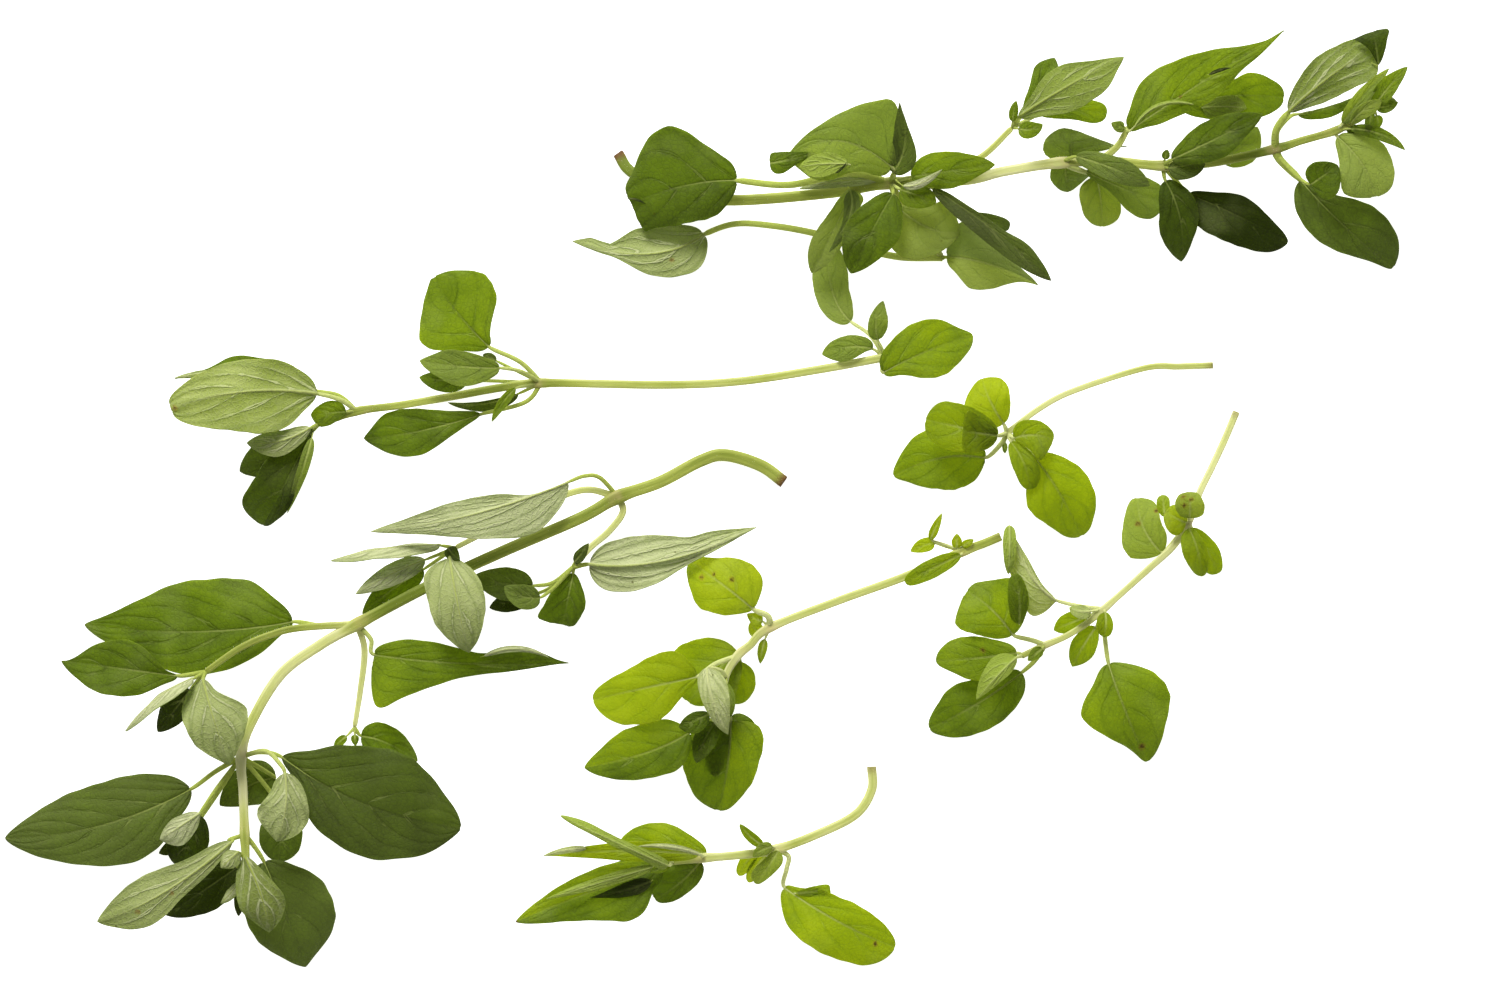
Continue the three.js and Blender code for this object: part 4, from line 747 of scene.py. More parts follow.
# The long sprig, top right
def long_sprig():
    joint1 = (30.8, 52.8, 6)
    joint2 = (59.2, 56.2, 6.6)
    joint3 = (76.3, 55.7, 6.4)
    joint4 = (95, 58.5, 6.4)
    joint5 = (105, 61.5, 8.4)
    tip = (111.4, 64.8, 10)
    low_shoot = (39.6, 40.4, 4)
    branch_end = (51.2, 62, 9.4)
    shoot_end = (70.5, 62, 8.4)
    shoot_green = ((0, 0.45), (1, 0.4))
    stems = [
        stem(
            [
                (-14.5, 57.8, 0.7), (-12.2, 54.7, 1.4), (-5, 51, 2.4), (5, 50, 3.6), (20.8, 51.2, 5),
                joint1, (43.3, 53.3, 6.4), (50, 54.8, 6.6), joint2, (68, 56.4, 6.6), joint3,
                (85, 56.3, 6.2), joint4, (99.2, 59.8, 7), joint5, (108.5, 63.4, 9.4), tip,
            ],
            0.94,
            0.52,
            joints=(joint1, joint2, joint3, joint4, joint5),
            cut=1.0,
            green=(
                (0, 1), (0.1, 1), (0.16, 0.6), (0.22, 0.7), (0.27, 0.65), (0.35, 0.6), (0.38, 0.3),
                (0.41, 0.05), (0.47, 0.15), (0.52, 0.4), (0.6, 0.5), (0.7, 0.75), (0.75, 1.1),
                (0.79, 0.75), (1, 0.7),
            ),
        ),
        stem([joint1, (34.5, 47, 4.6), low_shoot], 0.6, 0.5, green=shoot_green),
        stem([joint1, (38.5, 53.8, 8), (45.8, 57, 8.8), branch_end], 0.6, 0.5, green=shoot_green),
        stem([joint2, (64.8, 56.4, 7.6), (68.4, 58.6, 8), shoot_end], 0.62, 0.5, green=shoot_green),
    ]
    leaves = [
        # Behind the cut end: a broad dark leaf and one underside up, both on long stalks
        leaf(joint1, (5.3, 53.2, 7.6), (-3.5, 52.3, 8.4), (-12.3, 49.3, 5.4), 16.8, GREEN,
            via=[(24.2, 54.5, 7.6), (14.2, 52.5, 7.8)], fold=8, stalk=1.5, blunt=0.42, sharp=0.2,
            lit=(-0.06, -0.06, 0), edge=((5, 56), (2.7, 57.2), (-0.8, 59.7), (-3, 61.2), (-5.3, 62.7),
            (-7.5, 62), (-9.2, 60.7), (-10.7, 58.2), (-11.5, 55.8), (-12.3, 53.7), (4.7, 50.5),
            (3.3, 48.3), (1.5, 47.2), (-0.8, 46.5), (-3.3, 46), (-6.7, 45.7), (-9.2, 45.2), (-11, 45),
            (-12, 46))),
        # A thin dark strip laid on the broad leaf's tip: painted shade in a crack
        leaf((-13, 50.2, 5.9), (-12.8, 50.2, 6.1), (-11.3, 50, 6.6), (-9.8, 49.3, 6.8), 0.4, IN_SHADOW,
            fold=0, stalk=0.2),
        turned(low_shoot, (-0.2, 44.3, 3.2), (-9.7, 41, 4.4), (-22.2, 43.2, 0.6), 8.8, SAGE,
            via=[(30.8, 40.8, 3.2), (18.7, 44.4, 3), (10, 45.9, 3), (4.6, 46, 3.1)], fold=8, stalk=1.4,
            blunt=0.42, sharp=0.9, quilt=1.4, spots=[(0.32, 0.35, 0.2)], edge=((-2.5, 45.7), (-6.3, 45.8),
            (-12.5, 45.2), (-17.5, 44.2), (0.3, 42.2), (0, 40), (-1.3, 38.3), (-4.2, 37.3), (-7.5, 37.2),
            (-11.3, 38.3), (-14.7, 40.5), (-17.5, 42.2))),
        # First joint: a broad light leaf folded at its base, leaves above and below the stem
        leaf(joint1, (31.2, 55.3, 10), (22.2, 59.7, 14.6), (14, 56.7, 12), 14, SOFT,
            via=[(31.6, 54.6, 8)], blunt=0.25, sharp=0.4, lit=(0, -0.08, 0), edge=((31.8, 60),
            (32.2, 66.5), (29.2, 67), (25.8, 65.8), (22.5, 64.2), (19.5, 62.3), (17, 60.8), (15, 58.8),
            (15.2, 55), (16.8, 53.7), (19.2, 53.3), (22.5, 53.7), (26.2, 54.8))),
        leaf((11.5, 56.2, 13), (10.8, 56, 13.2), (13.8, 56.5, 14), (18.8, 57.7, 13.8), 3.8, GREEN, fold=4,
            blunt=0.3, sharp=0.9, stalk=0.3, edge=((11.2, 54.8), (12.3, 53.8), (13.8, 54.7), (15.3, 55.8),
            (16.8, 56.8), (11, 57.5), (13.3, 57.7), (15.8, 58))),
        turned((24.2, 55.7, 15.4), (23.7, 55.8, 15.8), (19.5, 55.8, 16.2), (15.7, 55.3, 14.8), 4, GRASSY,
            fold=4, stalk=0.3, lit=(-0.05, -0.1, 0), edge=((22.5, 57.2), (20.5, 57.7), (18.3, 57.3),
            (16.8, 56.5), (16.7, 54.3), (18.8, 53.5), (21.3, 54.2), (22.8, 55))),
        # A thin dark strip at the end of the folded piece: painted shade in a slit
        leaf((21.5, 54.2, 16.2), (21.7, 54.3, 16.4), (22.7, 55, 16.8), (23.5, 56, 16.4), 0.4, IN_SHADOW,
            fold=0, stalk=0.2),
        leaf(joint1, (31.3, 54.5, 9.4), (33.3, 59.7, 12.4), (32.3, 66, 15.6), 3.6, DUSKY, fold=0,
            blunt=0.3, sharp=0.9, quilt=0.4, edge=((33, 54.3), (34.5, 55), (35.5, 56.5), (34.8, 58.7),
            (34.2, 60.8), (33.3, 63.3), (32.7, 65), (30.5, 55.8), (31, 57.5), (31.3, 60), (31.7, 63.3))),
        leaf(joint1, (34.3, 53.8, 8.8), (41.3, 54.8, 11.4), (48.3, 55.8, 9.4), 6.4, FRESH, fold=8,
            edge=((35.8, 56.7), (37.7, 57.8), (42.5, 57.8), (45.8, 57), (45.8, 54.2), (43, 52.5),
            (40.3, 51.5), (37.5, 52.2))),
        leaf(joint1, (24.7, 51.7, 6), (21.8, 45.7, 8), (17.8, 37.8, 4.4), 6.6, HAZY,
            via=[(27.6, 52.2, 6)], fold=20, lit=(0.1, 0.1, 0), edge=((26.2, 50.5), (25.8, 48.8),
            (23.7, 45.5), (22.5, 41.7), (20.8, 39.7), (17, 40.5), (18, 43.8), (20.8, 47.8),
            (22.5, 50.5))),
        leaf((23.8, 52.2, 7.6), (24.2, 51.5, 8.2), (24, 47, 10.6), (20.7, 41.3, 8.4), 2.4, OLIVE, fold=0,
            stalk=0.4, quilt=0.4, edge=((23, 49.5), (23, 46.3), (21.8, 43.7), (25.9, 49.8), (24.7, 46.3),
            (23, 43.3))),
        leaf(joint1, (31.3, 51, 9), (27.8, 44.7, 11.6), (24.3, 37.7, 9.4), 8, GREEN, fold=12,
            edge=((28, 50), (25.3, 48.3), (23, 44.5), (22.8, 41.2), (27, 38.7), (30.3, 41.2),
            (32.5, 43.8), (32.7, 47.8))),
        leaf(joint1, (32.3, 48.7, 6.6), (37.5, 45.2, 7.6), (42.5, 44.7, 5.8), 8.4, HAZY, fold=6,
            sharp=0.45, edge=((34.7, 49), (38.7, 49.5), (41.7, 48), (41.3, 43.2), (39, 40.9),
            (34.7, 40.2), (31.2, 41.2)), lit=(0.15, 0.15, 0)),
        leaf(joint1, (32.5, 51.7, 10), (35.3, 50.7, 11.2), (38.5, 49.5, 11), 3.4, FRESH, fold=14,
            edge=((33.3, 52.2), (35.8, 52.3), (38, 51.3), (32.5, 50), (34.5, 48.8), (37.5, 48.7))),
        turned((31.7, 53.3, 11.4), (33, 52.2, 12), (36, 52.7, 12.8), (39.5, 55, 12.4), 1.5, MILKY, fold=0,
            stalk=0.5),
        turned(joint1, (29, 53.4, 6.8), (22.3, 53.1, 6.9), (15.6, 51.8, 5.8), 2.2, MILKY, fold=0,
            quilt=0.4, stalk=0.5),
        leaf(joint1, (37.9, 51.9, 9.6), (48.5, 44.5, 10.6), (57.7, 36.5, 7.4), 6, SHADE,
            via=[(34.6, 52.4, 8.2)], fold=16, edge=((40.3, 51.2), (43, 49.4), (47, 46.9), (50.8, 44),
            (53.7, 42.8), (55.5, 40.5), (54.2, 37.8), (50.8, 39.8), (47.5, 42.4), (44.7, 44.6),
            (42, 46.8), (39.4, 49.4)), lit=(-0.05, -0.22, 0)),
        leaf(low_shoot, (40.3, 40.5, 3.8), (47.5, 39.3, 4.6), (55.7, 35.8, 0.4), 7.8, HAZY,
            edge=((42, 37.8), (43.7, 35.5), (46.3, 34.8), (49.2, 35.5), (52, 36.3), (54.2, 36.2),
            (41.4, 44.6), (43, 46.8), (45.6, 44.8), (47.5, 43), (50.8, 40.3), (53.3, 38.2)),
            lit=(-0.4, 0.16, 0)),
        leaf(joint1, (42.6, 47.4, 4.6), (46.8, 46.6, 4.6), (50.8, 45.6, 3), 2.6, DARK,
            via=[(36, 50, 5.8)], sharp=0.3),
        # The side branch above
        turned(branch_end, (52.3, 63.8, 10), (60.2, 68.7, 13.2), (69.7, 73.7, 10.4), 7.8, MUTED,
            edge=((54.2, 66.7), (56.3, 70.5), (59.5, 72.5), (63.7, 73), (67, 73.5), (68.8, 71.2),
            (67.5, 68.8), (64.7, 66.7), (62, 65), (59.2, 64), (55.8, 63.8))),
        leaf(branch_end, (53.2, 64.7, 7.6), (55.8, 69.3, 7.4), (58.3, 73.7, 5), 6.2, GREEN,
            edge=((54.5, 69.3), (54.7, 72.2), (56.7, 73.5), (59.5, 73))),
        leaf(branch_end, (55.8, 64.3, 6.6), (61.2, 65, 5.8), (67, 64.3, 3.6), 5.6, FRESH, sharp=0.45,
            edge=((64.7, 66.5), (66.7, 65.7), (66.5, 63.3), (64.7, 62.8), (61.5, 63.5))),
        leaf(branch_end, (52.2, 61.8, 10), (54.2, 61.7, 11), (56.2, 62.5, 11), 2.6, FRESH,
            edge=((53.5, 63), (52.5, 60.5), (54.8, 60.3))),
        leaf(branch_end, (51.2, 63, 10.4), (51.4, 64.8, 11.4), (51.8, 66.4, 12), 1.6, FRESH),
        # Second joint
        leaf(joint2, (61.2, 57, 5.6), (61, 59.3, 5.4), (61.5, 61.7, 4), 9.2, OLIVE, sharp=0.5,
            edge=((63.7, 61.3), (65.5, 60), (65.8, 58), (57.3, 60), (56.3, 57.3))),
        leaf(joint2, (60.2, 56, 5), (60.2, 53.8, 4), (61.2, 51.7, 2), 6.8, OLIVE, sharp=0.5,
            edge=((57.2, 54.7), (58.5, 52.7), (62.8, 53))),
        leaf(joint2, (61.8, 57.2, 9), (68.2, 55, 12), (74, 52.3, 10.6), 4.4, OLIVE, edge=((64.7, 58),
            (68, 57.2), (72, 55.3), (70.3, 52.2), (67, 53.3), (64.2, 54.7))),
        leaf(joint2, (65.2, 54, 4.6), (66, 50, 3.4), (66.3, 45.7, 0.6), 7, PALE, via=[(62, 55, 5.6)],
            sharp=0.5, edge=((63.3, 53), (62.8, 50), (63.2, 47.8), (68, 46.3), (69.7, 48.5), (68, 51.7))),
        leaf(joint2, (63.5, 54.7, 7.6), (70, 51.7, 7.4), (76.5, 49.5, 4), 7, SOFT, sharp=0.45,
            edge=((67.5, 51.5), (69.7, 48.7), (72.5, 47), (74.7, 47.2), (74.7, 53.2), (76.7, 51.2),
            (70.8, 54.7))),
        leaf(shoot_end, (69.8, 62, 9), (68.8, 62.2, 9.8), (67.6, 62.8, 10), 2, SOFT),
        leaf(shoot_end, (70.7, 61.5, 9.6), (81.5, 68.7, 13.4), (96.5, 78.2, 9.4), 9.4, FRESH, fold=12,
            sharp=1, blunt=0.42, spots=[(0.4, 0.02, 0.12)], edge=((70.8, 64.8), (71.5, 68), (74.5, 71.3),
            (79.8, 73.7), (85.7, 75.2), (91, 76), (94.3, 77), (93, 74), (89.7, 72), (87, 68.7),
            (85, 66.7), (79.2, 64.2), (75.8, 62.5), (72.5, 61.8))),
        turned((70.5, 61.2, 11), (71.5, 62.2, 12), (76.2, 65.8, 14), (82.7, 65.3, 13.2), 0.8, GRASSY,
            fold=0, quilt=0.2, stalk=0.5),
        # A thin dark strip laid on the leaf below: painted shade
        leaf((83.5, 70.7, 14.2), (83.8, 70.7, 14.4), (85.5, 71.4, 14.9), (87.4, 71.8, 14.6), 0.6, IN_SHADOW,
            fold=0, quilt=0.2, stalk=0.2),
        turned((82, 65.3, 7.4), (82.7, 65.3, 8), (86.5, 65.5, 9), (90.2, 65.2, 8), 3.6, GRASSY, fold=5,
            quilt=0.5, edge=((84.5, 66.7), (87.2, 67), (89.2, 67.2), (83.7, 63.7), (86.2, 63.8),
            (88.8, 64.5))),
        leaf(shoot_end, (78.8, 65.7, 7.6), (87.8, 67.3, 7.6), (96.5, 67, 4.6), 8.2, FRESH, sharp=0.4,
            edge=((87, 69), (89.7, 71.2), (92.3, 71.2), (95, 69.8), (95, 65), (92.7, 63.7),
            (87.8, 63.3))),
        # Third joint
        leaf(joint3, (77.7, 56.7, 8.8), (85.2, 60.2, 11.6), (92.8, 64.2, 10.4), 6.6, GREEN, fold=8,
            edge=((78.5, 58.8), (81, 61.5), (85, 63.8), (89, 64.5), (90.3, 60.8), (87.7, 57.8),
            (84.3, 56.2), (81, 56)), lit=(-0.02, -0.08, 0)),
        leaf(joint3, (77.2, 55.3, 8), (80.3, 55.7, 8.4), (83.3, 56, 8), 2.4, DARK, edge=((77.8, 54),
            (79.8, 53.8), (83, 54.8))),
        leaf(joint3, (86, 57, 3.8), (89.5, 59, 3.2), (92.2, 62.3, 1.4), 6, SOFT, via=[(81, 56.8, 5)],
            edge=((89, 55.5), (92, 56.8), (92.7, 59.5), (86.2, 60))),
        leaf(joint3, (76.7, 53.2, 6.4), (79.2, 46.8, 6), (79.5, 39.8, 1.4), 7, DEEP, fold=12,
            edge=((75.8, 48.8), (75.8, 44.8), (77.5, 41.5), (81.2, 43), (82.3, 46.8), (81.7, 50.2),
            (79.2, 52.5))),
        leaf(joint3, (80.7, 51, 4.4), (89.2, 47.2, 4.8), (97.3, 43, 1.2), 7.8, IN_SHADOW,
            via=[(78.4, 53.4, 5.2)], sharp=0.6, edge=((84.3, 51.3), (89.7, 51), (93, 48.2), (96.3, 44.8),
            (95, 41.7), (91, 41.7), (86.3, 43.5), (82.5, 45.3))),
        leaf(joint3, (76.6, 56.8, 7.4), (76.8, 57.6, 8), (77, 58.4, 8.2), 1.4, GREEN),
        # Fourth joint
        turned(joint4, (97.3, 64.7, 9.4), (103.7, 70.2, 12.6), (110.8, 75, 11.8), 8.8, MOSS,
            via=[(95.2, 61.7, 8)], fold=8, sharp=0.3, quilt=1.6, ascend=2.4, stalk=1.6,
            edge=((97.5, 67.5), (99.2, 70.8), (101.7, 73.7), (105, 75.5), (107.8, 76.5), (109.3, 76.7),
            (112, 73.3), (112, 72), (111, 70.2), (108.3, 68.7), (105.5, 67.3), (102.2, 65.8),
            (99.7, 65.2))),
        leaf((110.8, 72.7, 12.4), (112, 72.3, 12.8), (111.5, 75.7, 14), (111, 77.8, 13.4), 3.2, DEEP,
            fold=4, stalk=0.3, blunt=0.8, sharp=0.25, edge=((111, 74), (110, 75.5), (109.2, 77.3),
            (112.3, 78.2), (112.8, 75.8), (112.8, 74))),
        leaf(joint4, (98.8, 64.3, 6.6), (103.8, 65.3, 6), (108.5, 67.3, 3.6), 5.2, GREEN,
            via=[(95.4, 61.4, 7), (97.4, 63.8, 7)], edge=((100.2, 64.7), (102.3, 63.5), (105, 64),
            (107.5, 65.8))),
        leaf(joint4, (99.3, 53.3, 5.6), (106.2, 46, 5.4), (114.8, 38.7, 0.4), 12.8, DARK,
            via=[(95.9, 56.6, 6.2)], fold=8, sharp=0.5, stalk=1.7, edge=((102.3, 51.5), (106.3, 50.5),
            (110.8, 49.5), (114.2, 46.2), (115.8, 42.2), (112.2, 39.5), (106.3, 41.2), (101.7, 43.5),
            (99, 46.8), (98.2, 50.2))),
        leaf(joint4, (100.8, 52.5, 9.4), (103, 54, 10.8), (105.3, 55.7, 10.8), 4.2, GREEN,
            via=[(96.1, 56.6, 6.8), (99, 53.6, 8)], fold=20, edge=((101, 56), (105.5, 52.5))),
        # Fifth joint and the narrow leaves and buds of the tip
        leaf(joint5, (105.3, 60.5, 8.6), (109.5, 55.7, 9.8), (111.5, 50.5, 8.4), 8.4, HAZY, fold=8,
            sharp=0.4, edge=((105.5, 57.5), (105.7, 53.5), (107, 50.8), (113.7, 51.3), (114.7, 53.7),
            (114.2, 57.2), (112.2, 60), (108.8, 60.8))),
        leaf(joint5, (106.2, 62.7, 9.8), (109.5, 67.2, 12.4), (113.8, 71.8, 12.8), 2.8, SOFT, fold=20,
            lit=(0.2, 0, 0)),
        leaf(tip, (111.5, 65.8, 11.8), (114.2, 69.3, 14), (116.8, 72, 14), 3.6, FRESH, fold=14,
            edge=((111.2, 68), (113.2, 70.5), (115.2, 71.5), (113, 65.7), (115, 68.3))),
        leaf(tip, (107.5, 62.7, 11.4), (109.5, 64.8, 13.8), (112.5, 66.5, 13), 3.2, PALE, fold=20,
            edge=((107.8, 64.3), (109.8, 66.2), (110, 63.8), (111.8, 64.7))),
        leaf(tip, (111.8, 65.3, 11), (113.5, 65.5, 12), (115.3, 66.2, 11.6), 2.2, GREEN),
        leaf(joint5, (106.7, 61.8, 8.8), (108.5, 61.5, 9), (110.3, 60.5, 8.2), 1.8, DEEP),
        leaf(joint5, (109.4, 64.9, 9.4), (112.4, 66.4, 9), (115.3, 66.2, 7.8), 2.6, SHADE,
            via=[(107, 63.4, 9.6)], fold=20),
        leaf(joint5, (107.5, 61.8, 9.8), (112.4, 60.8, 11.8), (116.5, 58.2, 11), 2.2, FRESH),
        leaf(tip, (111.8, 64, 9.6), (112, 63, 9.8), (112, 61.8, 9.4), 1.8, FRESH),
        leaf(tip, (110.9, 64.6, 10.6), (110.6, 62.6, 11), (110.4, 60.8, 10.8), 1.8, FRESH),
    ]
    return stems, leaves


# The sprig in the middle left, with a long bare stem
def middle_sprig():
    joint1 = (30, 23.8, 3.4)
    joint2 = (-27.3, 19.5, 5.2)
    joint3 = (-58, 14.8, 5.4)
    tip = (-64.4, 12.6, 5.8)
    stems = [
        stem(
            [
                joint1, (19.2, 21.8, 3.6), (5.8, 19.8, 4), (-7, 19.2, 4.4), joint2, (-34.2, 18.7, 5.4),
                (-42.5, 17.2, 5.4), (-50.8, 15.8, 5.4), joint3, tip,
            ],
            0.72,
            0.62,
            joints=(joint2, joint3),
            green=(
                (0, 0.38), (0.4, 0.45), (0.44, 0.85), (0.48, 0.45), (0.55, 0.75), (0.62, 0.8),
                (0.67, 0.55), (0.78, 0.6), (0.84, 0.72), (0.9, 0.85), (1, 0.8),
            ),
        ),
    ]
    leaves = [
        # Right end: a bright leaf, two small ones, and a hanging one that reaches under the long sprig
        leaf(joint1, (29.7, 21.2, 3.8), (36.7, 24.7, 5.6), (44.7, 27.5, 1.4), 10.2, FRESH, blunt=0.42,
            sharp=0.55, edge=((30.7, 26), (33, 28.3), (36.3, 30.2), (39.7, 30), (43, 28.3), (43.7, 24.7),
            (41.7, 22), (39.7, 20.7), (36.3, 20.2), (33, 21)), lit=(0.08, 0.08, 0)),
        leaf(joint1, (28.8, 26.7, 5), (28.5, 30, 6.6), (29.7, 33.2, 6), 3.6, SOFT,
            via=[(29.4, 25.4, 4.4)], edge=((27, 28.3), (27.5, 30.3), (30.5, 30), (30, 27.7))),
        leaf(joint1, (28, 25.2, 4), (24, 25.5, 5), (19.5, 24.3, 3.6), 3.8, SOFT, edge=((26.5, 27.3),
            (23.8, 27.3), (20.8, 26.3), (21.2, 23.3), (25.2, 23.7), (27.3, 25))),
        leaf(joint1, (24.3, 29.8, 2), (21.2, 35, 1.4), (20.6, 43.2, 0.4), 6, HAZY, via=[(27.5, 27.5, 3)],
            fold=4, sharp=0.5, edge=((23.9, 35.6), (23.9, 38), (23.3, 40), (22.9, 41.4))),
        # Second joint
        leaf(joint2, (-36, 25.5, 7.2), (-41.3, 31.3, 9), (-45.3, 37, 8.8), 13.2, FRESH,
            via=[(-30.8, 23, 6.8)], fold=8, sharp=0.4, edge=((-36.3, 28.7), (-35, 30.8), (-34.7, 33),
            (-35.3, 36.2), (-36.8, 37.8), (-40, 38.3), (-43.3, 38.2), (-45.8, 36), (-46.7, 33.7),
            (-47.2, 30), (-47.7, 26.8), (-46.8, 24.7), (-44.2, 24.8), (-40, 25))),
        leaf(joint2, (-34.2, 22, 9.6), (-40.8, 22.2, 11.6), (-47.5, 23.2, 9.4), 5.8, SOFT,
            via=[(-30.6, 21.4, 8.2)], fold=18, edge=((-36.8, 23.7), (-40.5, 24.8), (-43.7, 25), (-46, 24),
            (-46, 21.5), (-43.7, 20.2), (-41.5, 18.8), (-38.7, 19), (-36, 20.2))),
        leaf(joint2, (-34.8, 23.2, 6.8), (-36, 23.8, 6.8), (-37, 24.2, 6.4), 1.6, DARK),
        leaf(joint2, (-39.7, 20, 3.4), (-43.8, 20, 3), (-47.7, 20.5, 1.8), 3.4, GREEN,
            via=[(-33.6, 19.8, 4)], edge=((-44.8, 18.2), (-42.2, 18), (-40.3, 18.8), (-44.8, 21.5))),
        leaf(joint2, (-37.3, 14.3, 6.6), (-47.5, 11.5, 6.4), (-57, 10.3, 1.6), 8.2, GREEN,
            via=[(-30, 16.3, 5.6)], fold=14, blunt=0.65, quilt=1.4, edge=((-41.7, 14.8), (-48, 15.2),
            (-51.7, 15), (-54.2, 13.8), (-56, 12), (-56, 9), (-52.8, 7.7), (-50.5, 7.2), (-46.7, 7.7),
            (-43, 10), (-39.8, 12.5))),
        leaf(joint2, (-31.2, 17.7, 3.8), (-37.2, 16, 3.2), (-43, 16.3, 1.8), 3.4, DARK,
            edge=((-32.5, 17.5), (-35.5, 14.8), (-40.2, 15.2))),
        leaf(joint2, (-31.6, 18.6, 7.4), (-33.8, 16, 8.6), (-35.5, 13, 8.6), 1.8, FRESH, fold=20),
        # Third joint: two leaves underside up on the left, a drooping shoot below
        turned(joint3, (-64.7, 17.7, 8.2), (-76.7, 18, 11), (-89, 15.3, 7.4), 12, MOSS,
            via=[(-60.8, 16.7, 7)], fold=8, quilt=1.3, ascend=1.3, sharp=0.3, lit=(0.2, 0.15, 0.2),
            spots=[(0.97, 0.1, 0.2)], edge=((-67.2, 21.3), (-70, 23), (-74.5, 23.5), (-78.3, 23.2),
            (-82.2, 21.8), (-85.8, 20.2), (-88, 18.3), (-88.7, 13.7), (-86.3, 12.7), (-80.3, 11.7),
            (-75.8, 11.2), (-71.8, 11.2), (-68.8, 12.5), (-66.7, 15))),
        leaf(joint3, (-65, 18.3, 5.4), (-75.8, 21.3, 5.6), (-88.5, 20.2, 3.4), 6.6, GREEN,
            via=[(-61, 17.4, 5.4)], fold=6, edge=((-74.5, 23.7), (-78.3, 24.2), (-80.8, 23.4),
            (-82.5, 21.9), (-84.7, 20.8))),
        turned((-81.6, 21.2, 6.2), (-82, 21.3, 6.5), (-85, 20.9, 6.6), (-88.6, 20.3, 4.6), 1.1, SAGE,
            fold=0, stalk=0.2),
        leaf(joint3, (-59.8, 14.7, 6.6), (-62.8, 14.5, 6.8), (-65.7, 14.2, 5.8), 3.8, FRESH,
            edge=((-62.8, 16.5), (-64.8, 12.7), (-61.7, 13.3))),
        turned(tip, (-65.8, 12, 7.8), (-70.8, 9.8, 9), (-76.3, 9.5, 7.4), 3.8, SAGE, quilt=1.5,
            edge=((-70.3, 11.5), (-75.8, 10.7), (-74, 7.7), (-70.8, 7), (-67.8, 9.2))),
        leaf(tip, (-69.2, 8, 3.6), (-73.5, 6.5, 3), (-77.7, 4.8, 0.8), 5.2, DARK, via=[(-67, 10, 4.2)],
            edge=((-76.5, 8), (-74.5, 3.8), (-70.2, 5.2))),
        leaf(tip, (-65.2, 12, 5.6), (-69.5, 3.7, 6.4), (-73.8, -4.2, 0.8), 8.2, DEEP, fold=20,
            lit=(-0.15, 0, 0), blunt=0.62, sharp=0.5, edge=((-74.5, 4.2), (-76.5, 1.5), (-76.8, -1),
            (-75.8, -3.2), (-71.5, -3.3), (-69.5, -1.8), (-68.8, -0.2), (-67.7, 4), (-66.5, 7.7))),
        leaf((-65.3, 11.2, 7), (-65.5, 10.3, 7.6), (-67, 5, 8.4), (-69.7, -2.2, 3.2), 1.9, SOFT, fold=5,
            stalk=0.4),
    ]
    return stems, leaves


# The small sprig right of the centre, an arched bare stem and a rosette
def small_top_sprig():
    joint = (50.4, 11.2, 4)
    stems = [
        stem(
            [
                (84.8, 22.5, 0.5), (79.2, 22.3, 0.7), (73.3, 22, 1.6), (61.7, 18.3, 3.4),
                (56, 15.4, 4), joint,
            ],
            0.54,
            0.52,
            cut=0.35,
            green=((0, 0.45), (0.4, 0.42), (0.6, 0.18), (1, 0.18)),
        ),
    ]
    leaves = [
        leaf(joint, (49.8, 12.7, 5.4), (47.5, 16.5, 7.4), (46.2, 20.2, 5.2), 8, LIME, sharp=0.4,
            edge=((43, 16), (43.3, 17.5), (45, 18.8), (49.7, 20), (50.7, 17.5), (50.7, 14.3))),
        leaf(joint, (48.8, 10.7, 6.6), (43, 12, 9.4), (36.8, 13.3, 7), 8, BRIGHT, blunt=0.45, sharp=0.4,
            edge=((48.3, 12.5), (45.7, 14.8), (42.3, 16), (39, 16.2), (37, 14.5), (38.3, 9.5), (41, 8.2),
            (44.3, 7.8), (47, 8.7))),
        leaf(joint, (48.7, 10.7, 7), (45.8, 11.1, 9.1), (42.9, 11.4, 9.8), 5.4, BRIGHT, sharp=0.3,
            edge=((43.2, 13.6), (45, 14), (47.3, 12.6), (47.7, 8.8), (45, 8.2), (42.9, 8.6))),
        leaf(joint, (46.8, 7, 3.2), (39.2, 7, 3.2), (31.5, 4, 0.6), 9.8, BRIGHT, via=[(49.4, 9.4, 4)],
            sharp=0.6, edge=((46, 4.2), (43.7, 2.5), (40.7, 1.7), (36.3, 2.2), (33, 3.2), (32, 6.2),
            (33.7, 9.5), (36.7, 11.7), (40.8, 11.7), (45, 10)), lit=(-0.1, -0.1, 0)),
        leaf(joint, (51.5, 10.3, 5.4), (54.8, 10.8, 7.6), (58, 10, 6), 6.2, BRIGHT, blunt=0.45, sharp=0.4,
            edge=((51.7, 12.5), (53.7, 13.3), (56.2, 13), (57.7, 11.5), (56.8, 7.8), (54.8, 7.7),
            (52.8, 9.3))),
        leaf(joint, (51, 9.7, 5), (53.2, 6, 6.4), (54.2, 1.8, 5.4), 4.4, BRIGHT, sharp=0.4,
            edge=((50.8, 6.8), (51.8, 4.2), (55.3, 2.5), (56, 4.2), (55.3, 6.8), (53.5, 8.5))),
        leaf(joint, (54.8, 7.3, 4), (59, 1.3, 4), (62.8, -6, 0.4), 10.6, BRIGHT, via=[(52.6, 9.2, 4.2)],
            sharp=0.45, edge=((57.5, 7.8), (61.5, 6.2), (64.2, 3.5), (65.2, 0.2), (64.8, -3.2),
            (58.2, -4.7), (54.3, -2.3), (53.5, 0.3), (53.7, 4.2))),
        leaf(joint, (50, 9.6, 4), (50, 8.6, 4.2), (50, 7.8, 4), 0.9, FRESH),
    ]
    return stems, leaves


